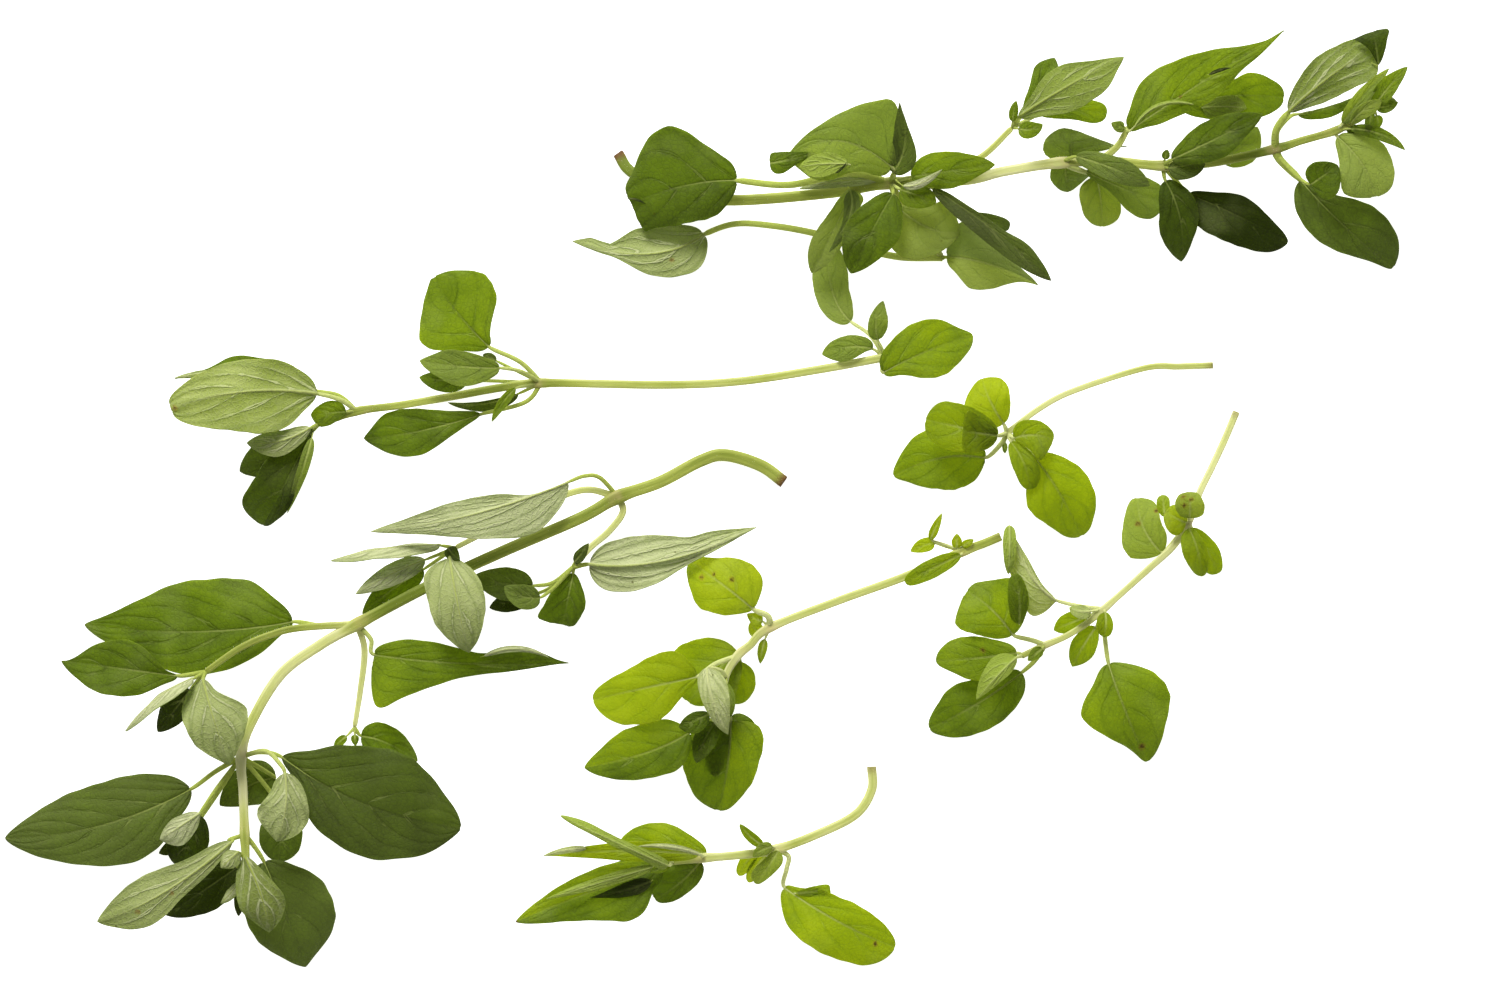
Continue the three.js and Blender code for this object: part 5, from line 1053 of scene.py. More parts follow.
# The small sprig on the right
def small_right_sprig():
    joint1 = (80.8, -3.3, 3.4)
    joint2 = (66.5, -18.2, 4.2)
    joint3 = (56.7, -24.2, 4.6)
    tip = (52.8, -26, 5)
    stems = [
        stem(
            [
                (88.7, 14.7, 0.5), (86.7, 10, 1.2), (84.5, 5.3, 2.2), (82.5, 1.2, 3), joint1,
                (78.3, -7.5, 3.6), (74.2, -11.3, 3.8), joint2, (63.3, -20.8, 4.4), (60, -22.8, 4.6),
                joint3, tip,
            ],
            0.6,
            0.5,
            joints=(joint1, joint2, joint3),
            cut=0.4,
            green=((0, 0.16), (0.5, 0.14), (0.7, 0.25), (1, 0.45)),
        ),
    ]
    leaves = [
        # First joint
        leaf(joint1, (80.8, -3, 5.8), (80.8, -0.8, 8), (80.7, 1.3, 7.4), 4.8, PALE, blunt=0.45, sharp=0.4,
            lit=(0.1, 0.1, 0), spots=[(0.5, -0.4, 0.3), (0.7, 0.1, 0.28), (0.8, -0.5, 0.22)],
            edge=((78.3, -0.2), (79.7, 1.2), (82.2, 1), (83, -0.7), (82.2, -2.8))),
        leaf(joint1, (80.3, -3.8, 4.4), (78.5, -3, 5.8), (76.8, -2, 5.2), 5.6, LIME, blunt=0.45,
            sharp=0.4, edge=((76.5, -3.2), (77.2, -5.2), (79, -6), (77.8, -1), (79.5, -1.7))),
        leaf(joint1, (76.7, -2.8, 3), (76.5, -0.8, 3.4), (76.3, 0.8, 2.8), 2.6, BRIGHT,
            via=[(78.6, -4, 3.2)], sharp=0.45, edge=((75.3, -0.5), (77.5, 0.2), (77.3, -1.5))),
        leaf(joint1, (76.2, -8.8, 2.6), (73.2, -4.7, 3.2), (72.2, 0.3, 0.4), 7.4, PALE,
            via=[(78.6, -6.4, 2.8)], blunt=0.45, sharp=0.35, spots=[(0.6, -0.2, 0.32), (0.72, 0.9, 0.32)],
            edge=((74.8, -9.2), (72.7, -10.2), (70.2, -9.2), (69.5, -6.3), (70.2, -3.5), (70.5, -1.3),
            (75.2, -0.5), (75.8, -3.5), (77, -6))),
        leaf(joint1, (80.7, -4.7, 4.2), (82, -8, 5.4), (83, -12.7, 3.4), 4.8, BRIGHT, sharp=0.5,
            edge=((79.3, -7.7), (80, -9.8), (84, -10.5), (83.5, -7.8), (82.3, -5.7))),
        leaf(joint1, (81.2, -4.7, 3), (83.7, -8.3, 2.8), (85.7, -12.2, 0.4), 5.8, BRIGHT, sharp=0.4,
            edge=((83.5, -5.7), (85.7, -7.8), (86.2, -10), (82.8, -11.3))),
        # Second joint: a pale folded leaf on a long stalk, a broad hanging one, small ones between
        turned(joint2, (58.5, -16.7, 6), (54.2, -12.5, 8.6), (50.8, -5, 7.8), 7, GLASSY,
            via=[(62.5, -17.7, 5)], fold=16, edge=((51.8, -6.3), (53.5, -9.2), (55.3, -12.7),
            (56.7, -14.7), (57, -18.7), (55.8, -19.7), (54.2, -19), (52.8, -15.3), (50.2, -9.7),
            (49.7, -7.5))),
        turned((50.5, -4.5, 8.8), (50.7, -4.3, 9.4), (50.7, -8.2, 10.4), (50.5, -12.3, 9.2), 2.3, GRASSY,
            fold=8, stalk=0.4, blunt=0.35, sharp=0.6),
        leaf(joint2, (63.7, -19.5, 3.4), (61, -20.5, 3.2), (58.2, -21.7, 1.6), 3.6, BRIGHT,
            edge=((59.5, -19.3), (61.3, -18.7), (62.3, -21.2), (60.2, -22.3))),
        leaf(joint2, (64.3, -18.6, 5.4), (62.4, -18.6, 6), (60.7, -17.9, 6), 2.6, FROSTED, roll=160),
        leaf(joint2, (66.7, -18.7, 5.2), (66.8, -20.7, 6.2), (66.5, -22.8, 5.6), 3.2, BRIGHT, sharp=0.5,
            edge=((65.2, -20.5), (67.8, -20), (68, -21.8))),
        leaf(joint2, (65.2, -21.2, 3.4), (63.2, -24.2, 3.4), (61.3, -27.8, 1), 4.4, BRIGHT,
            edge=((60.8, -24.7), (62.7, -21.8), (65.5, -23.3), (64.2, -26.7))),
        leaf(joint2, (67.3, -27.3, 3.6), (70, -35, 4.6), (73.8, -43.7, 0.4), 14.2, FRESH,
            via=[(66.6, -22, 3.8)], sharp=0.55, fold=6, spots=[(0.86, -0.1, 0.32)], edge=((70.2, -27.2),
            (73.7, -28.2), (76.5, -30), (77.5, -32.5), (77.7, -34.5), (76.8, -37.3), (75.8, -40.8),
            (71.5, -42), (68.7, -40.2), (65.8, -38.8), (63.8, -37.7), (62.5, -36), (63, -33.8),
            (65.2, -30.3))),
        # Third joint and tip
        leaf(joint3, (51.3, -22.5, 6.4), (47.8, -18.3, 8.6), (43.7, -15.2, 6), 12, BRIGHT,
            via=[(54.6, -23.4, 5.4)], fold=8, sharp=0.4, edge=((49.2, -23), (46.2, -22.8), (43.7, -21.7),
            (41.7, -20), (42.2, -17.8), (52.8, -20.3), (53.8, -17.5), (53.8, -15), (52.5, -12.7),
            (50, -13), (47.2, -13.8)), lit=(-0.08, -0.08, 0)),
        leaf((52.4, -20.8, 8.2), (52.3, -20.6, 8.4), (52.3, -16.3, 10), (51.6, -12.3, 9.8), 3.4, FRESH,
            fold=0, stalk=0.3, blunt=0.35, sharp=0.4, edge=((50.6, -18.5), (50.5, -16), (50.6, -13.5),
            (53.4, -19), (53.9, -16.5), (53.3, -14))),
        leaf(joint3, (52.8, -28.8, 4), (45.8, -33.7, 4.6), (37.5, -38.2, 0.4), 9.2, FRESH,
            via=[(55, -26.8, 4)], fold=12, sharp=0.5, edge=((53.3, -31.7), (52.5, -33.8), (49.7, -36.7),
            (46.2, -38.7), (42, -39.7), (38.5, -39.2), (38.2, -35.2), (40.5, -31.3), (43.3, -30.3),
            (47.5, -29.3)), lit=(-0.15, -0.12, 0)),
        leaf(tip, (52, -25.5, 5.8), (45.3, -26.3, 7.6), (38.5, -26.8, 4.4), 7.4, BRIGHT, fold=8,
            sharp=0.55, spots=[(0.42, 0.35, 0.28)], edge=((51, -24.3), (48.3, -23.3), (42, -23),
            (39.5, -24.7), (40.5, -28.2), (43.3, -29.7), (47.5, -30.2)), lit=(-0.15, -0.15, 0)),
        turned(tip, (51.8, -26.3, 8), (48.7, -29.2, 10.8), (45.2, -33.2, 10.2), 3.6, GRASSY, fold=16,
            lit=(-0.1, 0.1, 0), edge=((46.8, -27.7), (49, -25.5), (51, -28.7), (48.3, -31))),
        leaf(joint3, (56.2, -24.8, 5.8), (55, -25.7, 7), (53.8, -26.8, 7.2), 2, FRESH),
    ]
    return stems, leaves


# The small sprig in the centre
def small_centre_sprig():
    joint1 = (43, -8.6, 2.2)
    joint2 = (10.8, -21.3, 4.2)
    joint3 = (5.4, -26, 4.8)
    joint4 = (3.8, -36, 5.4)
    stems = [
        stem(
            [
                (49.3, -6.1, 0.7), (46.7, -7.2, 1), joint1, (33.3, -12.8, 2.8), (22.5, -16.7, 3.4),
                joint2, (7.5, -24.2, 4.6), joint3, (3.6, -29, 5.2), (3.2, -32, 5.4), joint4,
            ],
            0.74,
            0.56,
            joints=(joint1, joint2, joint3, joint4),
            cut=0.2,
            green=((0, 0.62), (0.25, 0.6), (0.35, 0.3), (0.65, 0.3), (0.8, 0.15), (1, 0.15)),
        ),
    ]
    leaves = [
        # First joint: a leaf lying along the stem and folded scraps beside it
        leaf(joint1, (42.6, -9.2, 3.4), (38.3, -11.2, 4.8), (33.4, -13.8, 4.2), 3.2, BRIGHT, sharp=0.4),
        leaf(joint1, (42, -8, 3), (42, -6.8, 3.8), (42, -5.6, 4.2), 1.8, LIME),
        leaf(joint1, (42.8, -7.8, 2.8), (43.8, -7.2, 3.2), (44.8, -6.6, 3), 1.4, LIME),
        leaf(joint1, (38.3, -7.2, 2.8), (36.4, -7.6, 3), (34.3, -8.6, 1.4), 2.6, LIME,
            via=[(40.4, -7.8, 2.6)], fold=20),
        leaf(joint1, (37.6, -6.6, 3.6), (38.4, -4.6, 4.8), (39.5, -2.2, 5), 1.6, LIME,
            via=[(40.4, -7.6, 2.8)], fold=20),
        # Second joint: one broad round leaf and small ones
        leaf(joint2, (8, -18.2, 6), (3.2, -14.3, 8), (-2.5, -10.3, 3.4), 10.4, LIME,
            via=[(10.5, -19.4, 5.4)], blunt=0.4, sharp=0.3, fold=6, stalk=1.3, spots=[(0.47, 0.3, 0.36),
            (0.77, -0.25, 0.26), (0.68, 0.15, 0.22)], edge=((0.5, -9.7), (6.2, -9.7), (8.7, -11.7),
            (9.8, -14.3), (9, -17.2), (7.3, -18.8), (3.8, -19.3), (1.3, -18.7), (-1.3, -18),
            (-2.5, -15.3), (-3, -12.3)), lit=(-0.08, 0, 0)),
        leaf(joint2, (9.6, -20.2, 5), (8.4, -19.8, 5.2), (7, -19, 4.8), 2.2, LIME),
        leaf(joint2, (9.6, -22.4, 3.6), (8.4, -21.6, 3), (7.6, -20.4, 2.2), 2.6, LIME),
        leaf(joint2, (10, -23.2, 3.6), (9.5, -25.2, 3.2), (9.2, -27.3, 2), 1.6, BRIGHT),
        # Third joint: broad leaves to the left, a pale folded leaf in front
        leaf(joint3, (5.5, -25.5, 3.6), (1.3, -29, 3.4), (-2.8, -33.7, 1.4), 8.8, BRIGHT, sharp=0.45,
            edge=((-4.5, -24.3), (0.2, -23), (3.8, -23.7), (6.2, -29), (4.7, -32), (0, -34.3))),
        leaf(joint3, (-1.3, -29.5, 6.8), (-9.5, -31.2, 8.4), (-18.7, -33.3, 3), 11, LIME,
            via=[(1.6, -27.4, 6.2)], blunt=0.45, sharp=0.45, fold=8, edge=((-2.2, -27.3), (-5.2, -25),
            (-8.2, -25.8), (-13.5, -28.7), (-17.2, -30.8), (-17.7, -35.3), (-14.7, -37.2), (-10.5, -37.3),
            (-7.5, -36.8), (-4.5, -33.8), (-2.8, -31.5)), lit=(-0.1, -0.12, 0)),
        leaf(joint3, (5.8, -27, 3.4), (5.4, -30.4, 1.6), (4.6, -34, 0.4), 6.2, BRIGHT, sharp=0.5),
        turned((3.6, -29.6, 5.2), (0.3, -28, 9.4), (1.3, -33.3, 11.4), (3.8, -39, 9.4), 5, GLASSY,
            via=[(2.6, -28.4, 7.6)], fold=14, quilt=0.7, edge=((-1.2, -29.3), (-1, -31.7), (-0.3, -33.7),
            (0.7, -35.8), (2, -37.8), (1.8, -27.8), (3, -29.2), (3.8, -31.3), (4.2, -34.2),
            (4.2, -36.7))),
        leaf((3.6, -29.6, 5.2), (3.6, -30.6, 7), (4.3, -33.4, 8.4), (4.3, -36.2, 8.2), 1.6, FRESH),
        # Fourth joint
        leaf(joint4, (-2.7, -38.8, 5.6), (-10, -42.2, 6), (-20.2, -44.7, 0.6), 8.2, FRESH,
            via=[(0.8, -36.8, 5.6)], fold=14, quilt=1.4, edge=((-4.5, -37.2), (-10, -37.2),
            (-14.7, -39.2), (-17.7, -41.7), (-17.7, -46.2), (-14.2, -46.7), (-9.3, -46.2), (-4, -44.7),
            (-2.7, -42.2)), lit=(-0.14, 0.08, 0)),
        leaf(joint4, (0.7, -35.7, 8), (-1.8, -36.7, 10), (-4.3, -37.8, 9.6), 3.6, GREEN,
            edge=((-3.3, -36.2), (-0.2, -35.3), (0.5, -36.8), (-2.7, -38.7))),
        leaf(joint4, (4.3, -36.8, 4.6), (3.8, -44, 4.4), (2.2, -51.8, 0.4), 13.2, FRESH, blunt=0.42,
            sharp=0.5, edge=((1.2, -36.5), (-1.5, -38), (-2.7, -40.5), (-3.7, -44.7), (-2.7, -47),
            (-1.2, -50), (5, -50.8), (7.5, -47.7), (9.2, -42.8), (9.5, -39.2), (8, -36.5), (6.5, -36)),
            lit=(0.05, -0.05, 0)),
        leaf(joint4, (1.6, -37.2, 6.4), (-0.2, -40.3, 7.4), (-1.4, -43.8, 6.8), 4.2, GREEN, fold=20),
        leaf((3.4, -36.4, 4.2), (3, -36.6, 4.2), (2, -41, 4.6), (1.6, -46, 4), 4.4, FRESH, fold=0,
            blunt=0.3, sharp=0.5, stalk=0.3),
        leaf(joint4, (4.3, -36.3, 3.8), (6.5, -37.7, 3.4), (8.3, -40, 2.4), 3.4, GREEN, sharp=0.5),
    ]
    return stems, leaves


# The small sprig at the bottom
def small_bottom_sprig():
    joint1 = (11.7, -58.3, 3.8)
    joint2 = (-0.3, -59.7, 4.8)
    tip = (-5.4, -60.2, 5.8)
    stems = [
        stem(
            [
                (27.8, -44.5, 0.75), (27.8, -48.4, 0.85), (25, -52.6, 1.8), (18.4, -55.9, 3), joint1,
                (5.8, -59.2, 4.4), joint2, tip,
            ],
            0.78,
            0.66,
            joints=(joint1, joint2),
            cut=0.5,
            green=((0, 0.28), (0.4, 0.3), (0.5, 0.5), (0.57, 0.3), (0.8, 0.3), (0.9, 0.5), (1, 0.5)),
        ),
    ]
    leaves = [
        # First joint: small leaves, and a large one on a curled stalk
        leaf(joint1, (9.5, -57.5, 5.6), (7.5, -56, 7), (5.8, -54, 7.4), 1.9, BRIGHT,
            via=[(10.5, -57.8, 5)], fold=20, blunt=0.35, sharp=0.6),
        leaf(joint1, (13.2, -64.7, 2.8), (22.2, -70.3, 5), (31.7, -74.7, 0.6), 11.2, BRIGHT,
            via=[(13.9, -59.4, 3.4), (13.6, -61.6, 2.8)], blunt=0.35, sharp=0.5, fold=8,
            lit=(0.04, 0.04, 0), spots=[(0.84, 0.15, 0.3)], edge=((15.5, -64.8), (18.3, -64.7),
            (20.5, -64.8), (21.2, -66), (23.3, -66.5), (26.3, -68), (28.8, -69.7), (30.7, -72),
            (12.7, -66.5), (13, -69.2), (14.8, -72.3), (18.3, -75), (22.8, -76.7), (27.2, -77.7),
            (30, -76.8))),
        leaf((14.8, -65.6, 4), (15.2, -65.6, 4.2), (18, -65.3, 4.8), (20.9, -64.9, 4.6), 1.9, BRIGHT,
            fold=0, stalk=0.3, sharp=0.15),
        leaf(joint1, (8.8, -58.5, 3.4), (7, -60.3, 3), (5.7, -62.7, 1.4), 2.4, LIME, sharp=0.45),
        leaf(joint1, (10.2, -59.3, 3.4), (8.5, -61.3, 3), (7.3, -63.8, 1.4), 2.2, LIME, sharp=0.45),
        leaf(joint1, (12.2, -58.5, 4.8), (10.5, -61.2, 5), (8.5, -64, 3.8), 3.2, PALE, sharp=0.5,
            edge=((13, -59.7), (12.3, -61.3), (10.5, -63), (9.2, -61), (7.8, -63))),
        leaf(joint1, (11.2, -57.8, 5.2), (9.5, -58.3, 6.2), (8, -59.5, 6), 2.2, PALE),
        # Second joint and tip: folded leaves over broad ones
        leaf(joint2, (0.2, -59, 4), (-7.2, -57.3, 3.2), (-14.2, -57.7, 1), 7.6, BRIGHT, fold=4, sharp=0.5,
            edge=((-13.2, -55.7), (-10.5, -54.2), (-7.8, -53.7), (-5.3, -54.3), (-1.8, -56.5),
            (-10.8, -60.3), (-4.2, -60.7))),
        leaf(joint2, (-1, -59, 6.8), (-14.2, -58.4, 10.2), (-27, -59.3, 7.6), 3.6, LIME, roll=12, fold=15,
            sharp=1.1),
        turned(tip, (-6.2, -60.8, 9.8), (-14.5, -57, 14.4), (-24, -52.5, 12.6), 1.9, GRASSY, fold=14,
            blunt=0.2, sharp=0.5, quilt=0.3, edge=((-6.7, -59.7), (-9.2, -58.3), (-12.5, -57),
            (-15.8, -55.5), (-17.5, -54.5), (-20, -53.3), (-22.2, -52.7), (-7.2, -61.5), (-9.2, -60.5),
            (-12.2, -58.8), (-15, -57.7), (-17.5, -56.3), (-20, -55), (-22, -54))),
        turned((0.2, -59.3, 7.6), (-0.5, -59.2, 8), (-5.8, -57.7, 10.8), (-11.5, -57.7, 10.6), 1, GLASSY,
            fold=0, stalk=0.4),
        turned((-19.2, -58, 9.4), (-19.5, -58, 9.8), (-23.2, -58.3, 10.4), (-27, -59.3, 8.8), 1.1, GLASSY,
            fold=0, stalk=0.3),
        leaf(tip, (-7.3, -61.3, 5.4), (-19.5, -65.5, 5.8), (-31.7, -70.5, 0.4), 9.8, FRESH, blunt=0.32,
            fold=16, quilt=1.4, spots=[(1.0, 0.0, 0.3)], edge=((-29.8, -68), (-24.5, -64.5),
            (-19.3, -61.8), (-15.8, -60.5), (-11.5, -60.3), (-28.8, -71.2), (-23.7, -70.2), (-16.7, -70),
            (-12.3, -70.2), (-10, -68.8), (-8.8, -64.8)), lit=(-0.15, 0.08, 0.1)),
        # A dark sheet under the band, standing for its shadow on the leaf below: painted shadow
        leaf((-8.7, -63.3, 6.6), (-9, -63.5, 7), (-13.3, -65, 7.2), (-19.2, -66.3, 6.2), 2.6, DEEP,
            fold=4, stalk=0.3, blunt=0.6, sharp=1.2),
        turned((-7.7, -60.7, 7.8), (-8.2, -61, 8.2), (-16.8, -63.5, 8.8), (-26.5, -66.5, 6.4), 2, GRASSY,
            fold=4, stalk=0.3),
        leaf(joint2, (-0.8, -60.3, 4), (-4, -63.7, 3.6), (-8.3, -66.7, 0.6), 7.2, GREEN, sharp=0.5,
            edge=((-0.3, -62.5), (-1.8, -64.5), (-5.3, -67), (-6.7, -62), (-9.5, -64.3))),
        leaf(tip, (-10.4, -60.7, 3.6), (-14.2, -61.6, 2.8), (-18, -62.2, 1), 2.8, GREEN),
        leaf(tip, (-5.8, -60.6, 7.2), (-7.6, -61.4, 8.6), (-9.2, -61.8, 8.8), 1.8, FRESH, fold=25),
    ]
    return stems, leaves


def srgb(red, green, blue):
    """A colour read off a screen as the shaders want it."""
    values = [c / 255 for c in (red, green, blue)]
    return (*[c / 12.92 if c <= 0.04045 else ((c + 0.055) / 1.055) ** 2.4 for c in values], 1.0)


class Nodes:
    """Short ways to build the node tree of one material."""

    def __init__(self, name):
        self.material = bpy.data.materials.new(name)
        self.material.use_nodes = True
        self.tree = self.material.node_tree
        self.tree.nodes.clear()

    def put(self, kind, settings=None, **inputs):
        node = self.tree.nodes.new(kind)
        for key, value in (settings or {}).items():
            setattr(node, key, value)
        for key, value in inputs.items():
            self.feed(node.inputs[key.replace("_", " ")], value)
        return node

    def feed(self, socket, value):
        if isinstance(value, bpy.types.NodeSocket):
            self.tree.links.new(value, socket)
        else:
            socket.default_value = value

    def math(self, operation, *values, clamp=False):
        node = self.put("ShaderNodeMath", {"operation": operation, "use_clamp": clamp})
        for socket, value in zip(node.inputs, values):
            self.feed(socket, value)
        return node.outputs[0]

    def chain(self, operation, values):
        result, *others = values
        for value in others:
            result = self.math(operation, result, value)
        return result

    def plus(self, *values):
        return self.chain("ADD", values)

    def less(self, *values):
        """The first value less the others."""
        return self.chain("SUBTRACT", values)

    def times(self, *values):
        return self.chain("MULTIPLY", values)

    def size_of(self, value):
        return self.math("ABSOLUTE", value)

    def larger(self, first, second):
        return self.math("MAXIMUM", first, second)

    def swing(self, value, amount=1.0):
        """A value between 0 and 1 moved to swing about 0, and scaled."""
        return self.times(self.less(value, 0.5), amount)

    def parts(self, note):
        """The three numbers of a per-point note."""
        read = self.put("ShaderNodeAttribute", {"attribute_name": note})
        split = self.put("ShaderNodeSeparateXYZ", Vector=read.outputs["Vector"])
        return tuple(split.outputs)

    def fade(self, value, start, end, low=0.0, high=1.0):
        """low where value is at start, high where it is at end, smooth in between."""
        reach = {"From_Min": start, "From_Max": end, "To_Min": low, "To_Max": high}
        node = self.put("ShaderNodeMapRange", {"interpolation_type": "SMOOTHSTEP"}, Value=value, **reach)
        return node.outputs[0]

    def fade_out(self, value, start, end, high=1.0):
        """high where value is at start, nothing where it is at end."""
        return self.fade(value, start, end, high, 0.0)

    def mix(self, share, first, second):
        node = self.put("ShaderNodeMix", {"data_type": "RGBA"})
        self.feed(node.inputs["Factor"], share)
        self.feed(node.inputs[6], first)
        self.feed(node.inputs[7], second)
        return node.outputs[2]

    def layers(self, colour, *layers):
        """A colour with others laid over it, one after the other, each by its share."""
        for share, over in layers:
            colour = self.mix(share, colour, over)
        return colour

    def ramp(self, value, stops):
        node = self.put("ShaderNodeValToRGB", Fac=value)
        ramp = node.color_ramp
        while len(ramp.elements) < len(stops):
            ramp.elements.new(0.5)
        for element, (place, colour) in zip(ramp.elements, stops):
            element.position = place
            element.color = colour
        return node.outputs["Color"]

    def place(self):
        """Millimetres along the object's own axes."""
        read = self.put("ShaderNodeTexCoord").outputs["Object"]
        return self.put("ShaderNodeVectorMath", {"operation": "SCALE"}, Vector=read, Scale=1 / MM).outputs[0]

    def noise(self, place, scale, detail=2.0, rough=0.5):
        """Clouds between 0 and 1. scale says how many go to a millimetre."""
        node = self.put("ShaderNodeTexNoise", Vector=place, Scale=scale, Detail=detail, Roughness=rough)
        return node.outputs["Fac"]

    def cells(self, place, scale, feature):
        """How far a point is from its cell's middle (F1) or edge, the cells being about 1 wide."""
        node = self.put("ShaderNodeTexVoronoi", {"feature": feature}, Vector=place, Scale=scale)
        return node.outputs["Distance"]

    def bump(self, height, strength, depth):
        return self.put("ShaderNodeBump", Strength=strength, Distance=depth * MM, Height=height).outputs[0]

    def mix_shaders(self, share, first, second):
        node = self.put("ShaderNodeMixShader", Fac=share)
        self.feed(node.inputs[1], first.outputs[0])
        self.feed(node.inputs[2], second.outputs[0])
        return node

    def let_through(self, surface, colour, share):
        """A thin body: light that goes in at one face leaves at the other, coloured once."""
        glow = self.put("ShaderNodeBsdfTranslucent", Color=colour)
        leaving = self.put("ShaderNodeBsdfTranslucent", Color=WHITE)
        inside = self.put("ShaderNodeNewGeometry").outputs["Backfacing"]
        either = self.mix_shaders(inside, self.mix_shaders(share, surface, glow), leaving)
        self.put("ShaderNodeOutputMaterial", Surface=either.outputs[0])


# Upper faces from a leaf in deep shade to a young one
UPPER_STOPS = (
    (0.0, srgb(38, 47, 12)),
    (0.28, srgb(68, 83, 25)),
    (0.45, srgb(87, 104, 26)),
    (0.62, srgb(106, 124, 26)),
    (0.8, srgb(122, 139, 16)),
    (1.0, srgb(138, 152, 20)),
)
# Light that comes through a blade, at the same ages
THROUGH_STOPS = (
    (0.0, srgb(34, 44, 0)),
    (0.28, srgb(62, 78, 4)),
    (0.45, srgb(84, 106, 6)),
    (0.62, srgb(108, 130, 12)),
    (0.8, srgb(134, 154, 8)),
    (1.0, srgb(156, 172, 20)),
)
# Undersides from a thin one to a woolly one
UNDER_STOPS = (
    (0.0, srgb(104, 116, 52)),
    (0.35, srgb(136, 147, 74)),
    (0.65, srgb(164, 172, 112)),
    (1.0, srgb(196, 200, 152)),
)
# Grey of a dull upper face, also laid on in patches as painted sheen
DULL_AND_SHEEN = srgb(140, 150, 88)
DULL_THROUGH = srgb(104, 120, 48)
LIVELY = srgb(152, 172, 62)
VEIN_PALE = srgb(186, 196, 112)
# Painted shade in the creases of sunk side veins
CREASE_SHADE = srgb(58, 72, 14)
UNDER_VEIN = srgb(214, 216, 168)
# Painted shade in the dips next to the raised veins of the underside; also the colour of its glands
DIP_SHADE_AND_GLANDS = srgb(118, 130, 70)
STALK_PALE = srgb(202, 207, 138)
STALK_GREEN = srgb(160, 172, 78)
BROWN = srgb(66, 44, 20)
RUST = srgb(140, 96, 40)
WHITE = (1.0, 1.0, 1.0, 1.0)
UPPER_THROUGH_SHARE = 0.5  # share of the light that a blade lets through at its upper face
UNDER_THROUGH_SHARE = 0.28
STEM_THROUGH_SHARE = 0.25
UPPER_ROUGHNESS = 0.5
UNDER_ROUGHNESS = 0.72

# Where marks begin to fade and where they are gone: millimetres off a vein or a spot's rim
SIDE_VEIN = (0.04, 0.2)
BESIDE_VEIN = (0.12, 0.55)
RIB = (0.1, 0.34)
RUST_RIM = (0.1, 0.45)
BROWN_SPOT = (-0.15, 0.12)
BROWN_SPOT_THROUGH = (-0.15, 0.3)
# The same for shares of a cell of the net of small veins, of the glands and of the specks
NET_VEIN = (0.02, 0.16)
GLAND = (0.1, 0.17)
SPECK = (0.025, 0.06)
# And for shares of the way from midrib to margin or from base to tip
VEIN_TO_MARGIN = (0.35, 0.95)
VEIN_TO_TIP = (0.65, 0.95)
RIB_TO_TIP = (0.25, 0.95)
PALE_VEIN_TO_MARGIN = (0.1, 0.7)
LIGHT_MARGIN = (0.93, 1.0)  # where it begins and where it is full
# Patterns to a millimetre
CLOUDS = 0.16
GRAINS = 5.0
NET_CELLS = 1.25
GLANDS = 2.1
SPECKS = 0.22


# In what follows n builds the nodes of a material, and p holds the pattern of a blade
def leaf_pattern(n):
    """What the notes and the noises say at a point. Veins, net and glands are 1 where they are."""
    p = SimpleNamespace()
    across, vein, pitch = n.parts("vein_place")
    p.off_rib, p.share, p.stalk = n.parts("leaf_place")
    p.age, p.pale, p.dull = n.parts("tone")
    p.face, p.spot, p.seed = n.parts("marks")
    p.place = n.place()
    p.outward = n.size_of(across)
    p.blade = n.less(1.0, p.stalk)
    p.cloud = n.swing(n.noise(p.place, CLOUDS, detail=3.0))
    p.grain = n.noise(p.place, GRAINS, detail=3.0, rough=0.6)

    off_vein = n.times(n.size_of(n.swing(n.math("FRACT", n.plus(vein, 0.5)))), pitch)
    wobble = n.plus(n.swing(n.noise(p.place, 0.3)), n.swing(n.noise(p.place, 0.9), 0.3))
    off_vein = n.size_of(n.plus(off_vein, wobble))
    side_vein = n.times(
        n.fade_out(off_vein, *SIDE_VEIN),
        n.fade_out(p.outward, *VEIN_TO_MARGIN),
        n.fade(p.share, *VEIN_TO_TIP, low=1.0, high=0.15),
    )
    rib = n.times(n.fade_out(p.off_rib, *RIB), n.fade_out(p.share, *RIB_TO_TIP))
    p.veins = n.times(n.larger(side_vein, rib), p.blade)
    p.side_vein = n.times(side_vein, p.blade)
    # beside marks painted shade next to each side vein, on both faces
    p.beside = n.times(n.fade_out(off_vein, *BESIDE_VEIN), p.blade)
    p.net = n.fade_out(n.cells(p.place, NET_CELLS, "DISTANCE_TO_EDGE"), *NET_VEIN)
    p.glands = n.fade_out(n.cells(p.place, GLANDS, "F1"), *GLAND)
    return p


def upper_shade(n, p):
    """How light and yellow the upper face is: lighter in clouds and at the margin, darker at the net of small
    veins and the glands, with painted shade beside the side veins.
    """
    lighter = n.plus(p.age, n.times(p.cloud, 0.42), n.swing(p.grain, 0.1))
    darker = n.less(lighter, n.times(p.net, 0.045), n.times(p.glands, 0.05), n.times(p.beside, 0.05))
    return n.plus(darker, n.fade(p.outward, *LIGHT_MARGIN, high=0.12))


def pale_midrib(n, p, rib_width, rib_reach):
    """How much of the thin pale midrib shows on the upper face, less on some leaves than on others."""
    return n.times(
        n.fade_out(p.off_rib, 0.05, rib_width),
        n.fade(p.share, 0.1, rib_reach, low=0.7, high=0.06),
        p.blade,
        n.fade(p.seed, 0.0, 1.0, low=0.4),
        n.fade(p.age, 0.05, 0.35, low=0.3),
    )


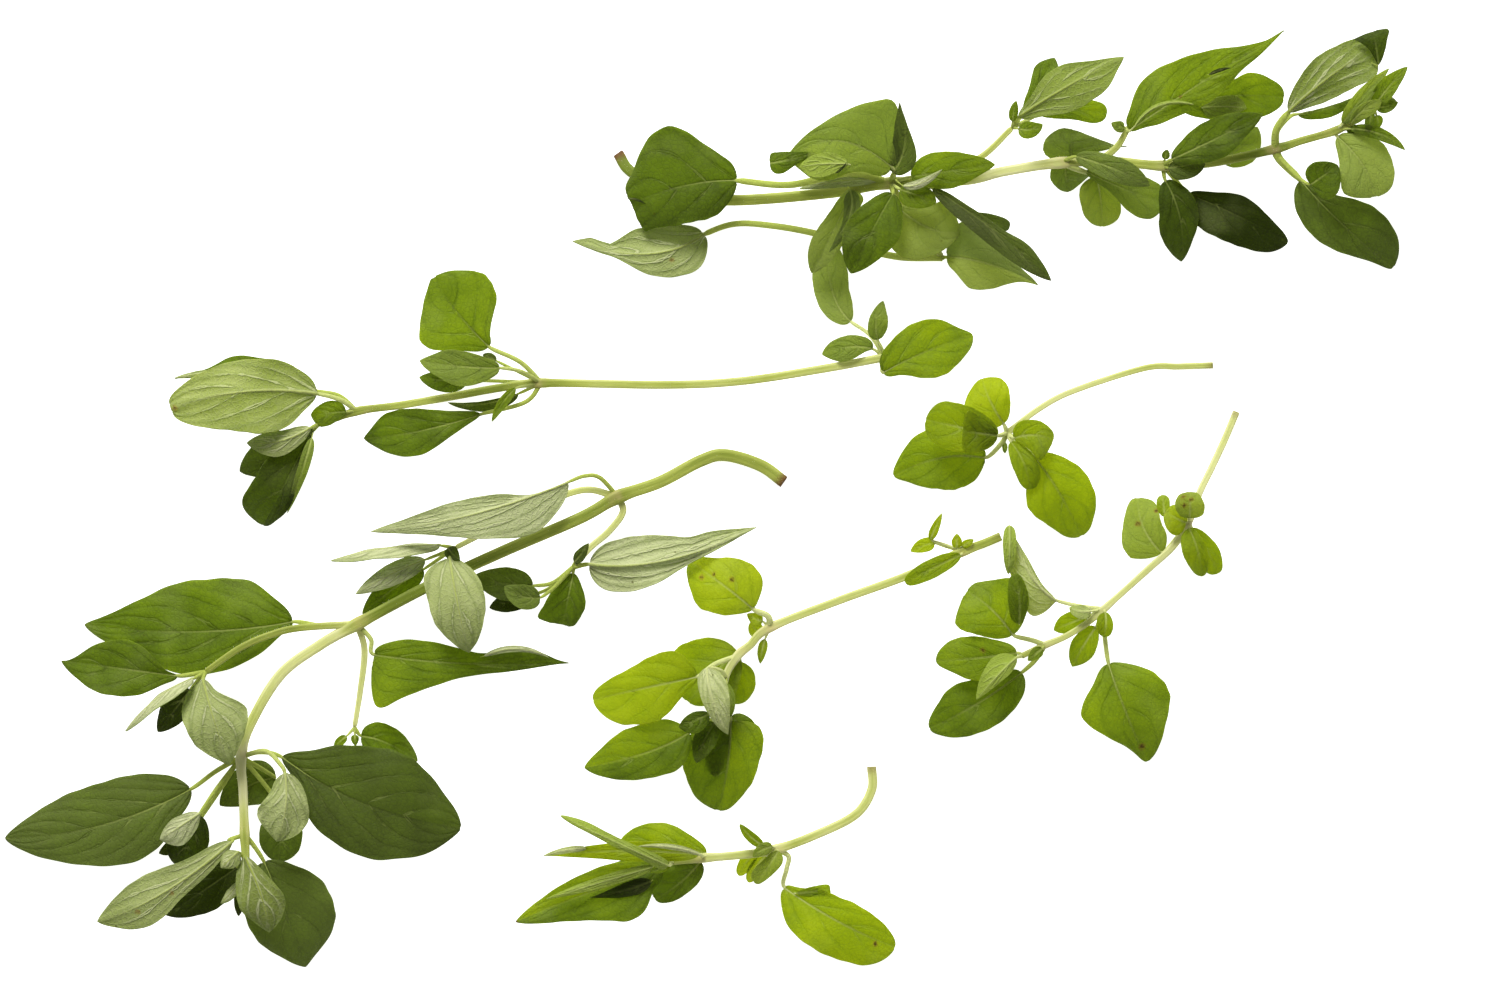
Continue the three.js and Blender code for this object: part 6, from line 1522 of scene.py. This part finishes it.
def upper_face(n, p, shade, midrib, broken, crease_shade):
    """Green, greyed where the leaf is dull and in patches of painted sheen, with a pale midrib and side
    veins, and painted shade in the creases along some.
    """
    # Grey patches of painted sheen
    painted_sheen = n.fade(n.noise(p.place, 0.11), 0.5, 0.72, high=0.3)
    pale_vein = n.fade_out(p.outward, *PALE_VEIN_TO_MARGIN, high=0.3)
    pale_vein = n.times(p.side_vein, pale_vein, n.less(1.0, broken))
    return n.layers(
        n.ramp(shade, UPPER_STOPS),
        (n.larger(n.times(p.dull, 0.9), painted_sheen), DULL_AND_SHEEN),
        (midrib, VEIN_PALE),
        (crease_shade, CREASE_SHADE),
        (pale_vein, VEIN_PALE),
    )


def underside(n, p):
    """Woolly, with raised pale veins and painted shade in the dips next to them."""
    wool = n.plus(p.pale, n.times(p.cloud, 0.5), n.swing(p.grain, 0.3))
    # Painted shade in the dips next to the raised veins
    dip_shade = n.math("SUBTRACT", p.beside, p.veins, clamp=True)
    return n.layers(
        n.ramp(wool, UNDER_STOPS),
        (n.times(dip_shade, 0.55), DIP_SHADE_AND_GLANDS),
        (n.times(p.net, 0.08), UNDER_VEIN),
        (n.times(p.veins, 0.55), UNDER_VEIN),
        (n.times(p.glands, 0.25), DIP_SHADE_AND_GLANDS),
        (n.times(p.dull, 0.8), LIVELY),
    )


def leaf_relief(n, p):
    """Veins sunk in the upper face and raised on the underside, with grain and dented glands."""
    raised = n.less(1.0, n.times(p.face, 2.0))
    height = n.plus(n.times(p.veins, raised), n.times(p.net, raised, 0.35), n.times(p.grain, 0.25))
    return n.bump(n.less(height, n.times(p.glands, 0.3)), strength=0.7, depth=0.2)


def leaf_material(name, sheen, creased, rib_width, rib_reach):
    """Both faces of a blade, and its stalk.

    creased says how much painted shade darkens the creases of the upper face. rib_width is how far to each
    side the pale midrib fades out, and rib_reach the share of the way to the tip where it has almost gone.
    """
    n = Nodes(name)
    p = leaf_pattern(n)
    shade = upper_shade(n, p)
    midrib = pale_midrib(n, p, rib_width, rib_reach)
    broken = n.fade(n.noise(p.place, 0.35), 0.4, 0.62)
    # Dark lines along some side veins: painted shade in the creases
    crease_shade = n.times(p.side_vein, n.times(broken, creased))
    stalk_skin = n.mix(n.fade(p.age, 0.5, 0.85), STALK_GREEN, STALK_PALE)
    ragged = n.plus(p.spot, n.swing(n.noise(p.place, 3.0, detail=3.0), 0.7))
    speck = n.times(n.fade_out(n.cells(p.place, SPECKS, "F1"), *SPECK), n.fade(p.seed, 0.35, 0.4))
    tissue = n.layers(
        n.mix(p.face, underside(n, p), upper_face(n, p, shade, midrib, broken, crease_shade)),
        (n.times(p.stalk, n.less(1.0, n.times(p.share, 0.6))), stalk_skin),
        (n.fade_out(ragged, *RUST_RIM, high=0.6), RUST),
        (n.fade_out(ragged, *BROWN_SPOT, high=0.9), BROWN),
        (n.times(speck, 0.7), BROWN),
    )
    surface = n.put(
        "ShaderNodeBsdfPrincipled",
        Base_Color=tissue,
        Roughness=n.fade(p.face, 0.0, 1.0, low=UNDER_ROUGHNESS, high=UPPER_ROUGHNESS),
        Normal=leaf_relief(n, p),
        Specular_IOR_Level=0.1,
        Sheen_Weight=sheen,
        Sheen_Roughness=0.5,
    )
    glow = n.layers(
        n.ramp(n.less(shade, n.times(crease_shade, 0.25)), THROUGH_STOPS),
        (n.times(p.dull, 0.8), DULL_THROUGH),
        (n.larger(p.stalk, n.times(midrib, 0.6)), stalk_skin),
        (n.fade_out(ragged, *BROWN_SPOT_THROUGH, high=0.9), BROWN),
    )
    share = n.fade(p.face, 0.0, 1.0, low=UNDER_THROUGH_SHARE, high=UPPER_THROUGH_SHARE)
    n.let_through(surface, glow, share)
    return n.material


# Stems from a pale one to a green one
STEM_STOPS = (
    (0.0, srgb(212, 210, 158)),
    (0.35, srgb(190, 194, 118)),
    (0.6, srgb(158, 166, 74)),
    (1.0, srgb(104, 118, 30)),
)
STEM_BLUSH = srgb(206, 176, 132)
HAIR_WHITE = srgb(236, 238, 214)
CUT_BROWN = srgb(104, 74, 36)
CUT_RIM = (0.2, 1.9)  # millimetres from a cut end where its brown begins to fade and is gone
CUT_FACE = (-0.4, 0.5)


def stem_material(name):
    """Pale green stems with darker grooves, blushed joints, brown cut ends and fine white hairs."""
    n = Nodes(name)
    right, up, along = n.parts("stem_place")
    near, green, cut = n.parts("stem_marks")
    hair = n.parts("stem_hair")[0]
    place = n.place()
    streaks = n.put("ShaderNodeCombineXYZ", X=n.times(right, 3.0), Y=n.times(up, 3.0), Z=n.times(along, 0.12))
    fibre = n.noise(streaks.outputs[0], 1.6, detail=4.0, rough=0.6)
    cloud = n.noise(place, 0.12)
    grain = n.noise(place, 4.0, detail=3.0, rough=0.6)
    groove = n.fade(n.larger(n.size_of(right), n.size_of(up)), 0.8, 1.0)
    tint = n.plus(green, n.swing(fibre, 0.5), n.swing(cloud, 0.35), n.times(groove, 0.14))
    ragged = n.plus(along, n.swing(grain, 1.6))
    skin = n.layers(
        n.ramp(n.less(tint, n.times(near, 0.15)), STEM_STOPS),
        (n.times(near, n.fade(n.noise(place, 0.35), 0.4, 0.7, high=0.35)), STEM_BLUSH),
        (n.times(n.fade_out(ragged, *CUT_RIM), cut), CUT_BROWN),
        (n.times(n.fade_out(ragged, *CUT_FACE, high=0.8), cut), BROWN),
        (hair, HAIR_WHITE),
    )
    surface = n.put(
        "ShaderNodeBsdfPrincipled",
        Base_Color=skin,
        Roughness=0.55,
        Normal=n.bump(n.plus(fibre, n.times(grain, 0.4)), strength=0.5, depth=0.1),
        Specular_IOR_Level=0.3,
    )
    n.let_through(surface, skin, STEM_THROUGH_SHARE)
    return n.material


def build_sprig(node, stems, leaves, material, seed, hairy):
    """The two pieces that stand for one sprig: its leaves and its stems."""
    rng = np.random.default_rng(seed)
    short = node.removeprefix("sprig_")
    foliage = Shell()
    for spec in leaves:
        add_leaf(foliage, spec, rng)
    stalks = Shell()
    for spec in stems:
        line = add_stem(stalks, spec)
        if hairy:
            add_hairs(stalks, *line, rng)
    pieces = (
        (foliage.object(f"leaves_{short}", material), "mature_leaf" if hairy else "young_leaf"),
        (stalks.object(f"stems_{short}", STEM), "stem"),
    )
    for piece, slot in pieces:
        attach(piece, "root")
        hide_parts(node)


MATURE = leaf_material("mature_leaf", sheen=0.04, creased=0.26, rib_width=0.24, rib_reach=0.8)
YOUNG = leaf_material("young_leaf", sheen=0.0, creased=0.08, rib_width=0.32, rib_reach=0.95)
STEM = stem_material("stem")

SPRIGS = (
    ("sprig_broad", broad_sprig, MATURE, True),
    ("sprig_long", long_sprig, MATURE, True),
    ("sprig_middle", middle_sprig, MATURE, True),
    ("sprig_small_top", small_top_sprig, YOUNG, False),
    ("sprig_small_right", small_right_sprig, YOUNG, False),
    ("sprig_small_centre", small_centre_sprig, YOUNG, False),
    ("sprig_small_bottom", small_bottom_sprig, YOUNG, False),
)
for number, (node, parts, material, hairy) in enumerate(SPRIGS):
    build_sprig(node, *parts(), material, number, hairy)


def pale_floor():
    """A pale surface that glows a little from within, as a light table does."""
    mesh = bpy.data.meshes.new("floor")
    side = FLOOR_SIDE / 2
    corners = [(-side, -side), (side, -side), (side, side), (-side, side)]
    mesh.from_pydata([(x, y, -FLOOR_GAP) for x, y in corners], [], [(0, 1, 2, 3)])
    n = Nodes("pale_floor")
    surface = n.put(
        "ShaderNodeBsdfPrincipled",
        Base_Color=srgb(FLOOR_GREY, FLOOR_GREY, FLOOR_GREY),
        Roughness=FLOOR_ROUGHNESS,
        Emission_Color=WHITE,
        Emission_Strength=FLOOR_GLOW,
    )
    n.put("ShaderNodeOutputMaterial", Surface=surface.outputs[0])
    mesh.materials.append(n.material)
    floor = bpy.data.objects.new("floor", mesh)
    bpy.context.scene.collection.objects.link(floor)


def soft_light(name, place, size, power):
    light = bpy.data.lights.new(name, "AREA")
    light.size = size
    light.energy = power
    lamp = bpy.data.objects.new(name, light)
    lamp.location = place
    lamp.rotation_euler = (-lamp.location).to_track_quat("-Z", "Y").to_euler()
    bpy.context.scene.collection.objects.link(lamp)


def studio():
    world = bpy.data.worlds.new("studio")
    world.use_nodes = True
    background = world.node_tree.nodes["Background"]
    background.inputs["Color"].default_value = WHITE
    background.inputs["Strength"].default_value = AMBIENT
    bpy.context.scene.world = world
    bpy.context.scene.view_settings.view_transform = "Standard"
    pale_floor()
    soft_light("key", KEY_PLACE, KEY_SIZE, KEY_POWER)


def camera_above():
    """Straight down on the photo's centre, through a long lens."""
    data = bpy.data.cameras.new("camera")
    data.lens = LENS
    data.sensor_width = SENSOR
    camera = bpy.data.objects.new("camera", data)
    centre_x = (PHOTO_WIDTH / 2 - ORIGIN_X) / PIXELS_PER_MM * MM
    centre_y = (ORIGIN_Y - PHOTO_HEIGHT / 2) / PIXELS_PER_MM * MM
    height = PHOTO_WIDTH / PIXELS_PER_MM * MM * LENS / SENSOR
    camera.location = (centre_x, centre_y, height + SPRIG_HEIGHT)
    bpy.context.scene.collection.objects.link(camera)
    bpy.context.scene.camera = camera


studio()
camera_above()
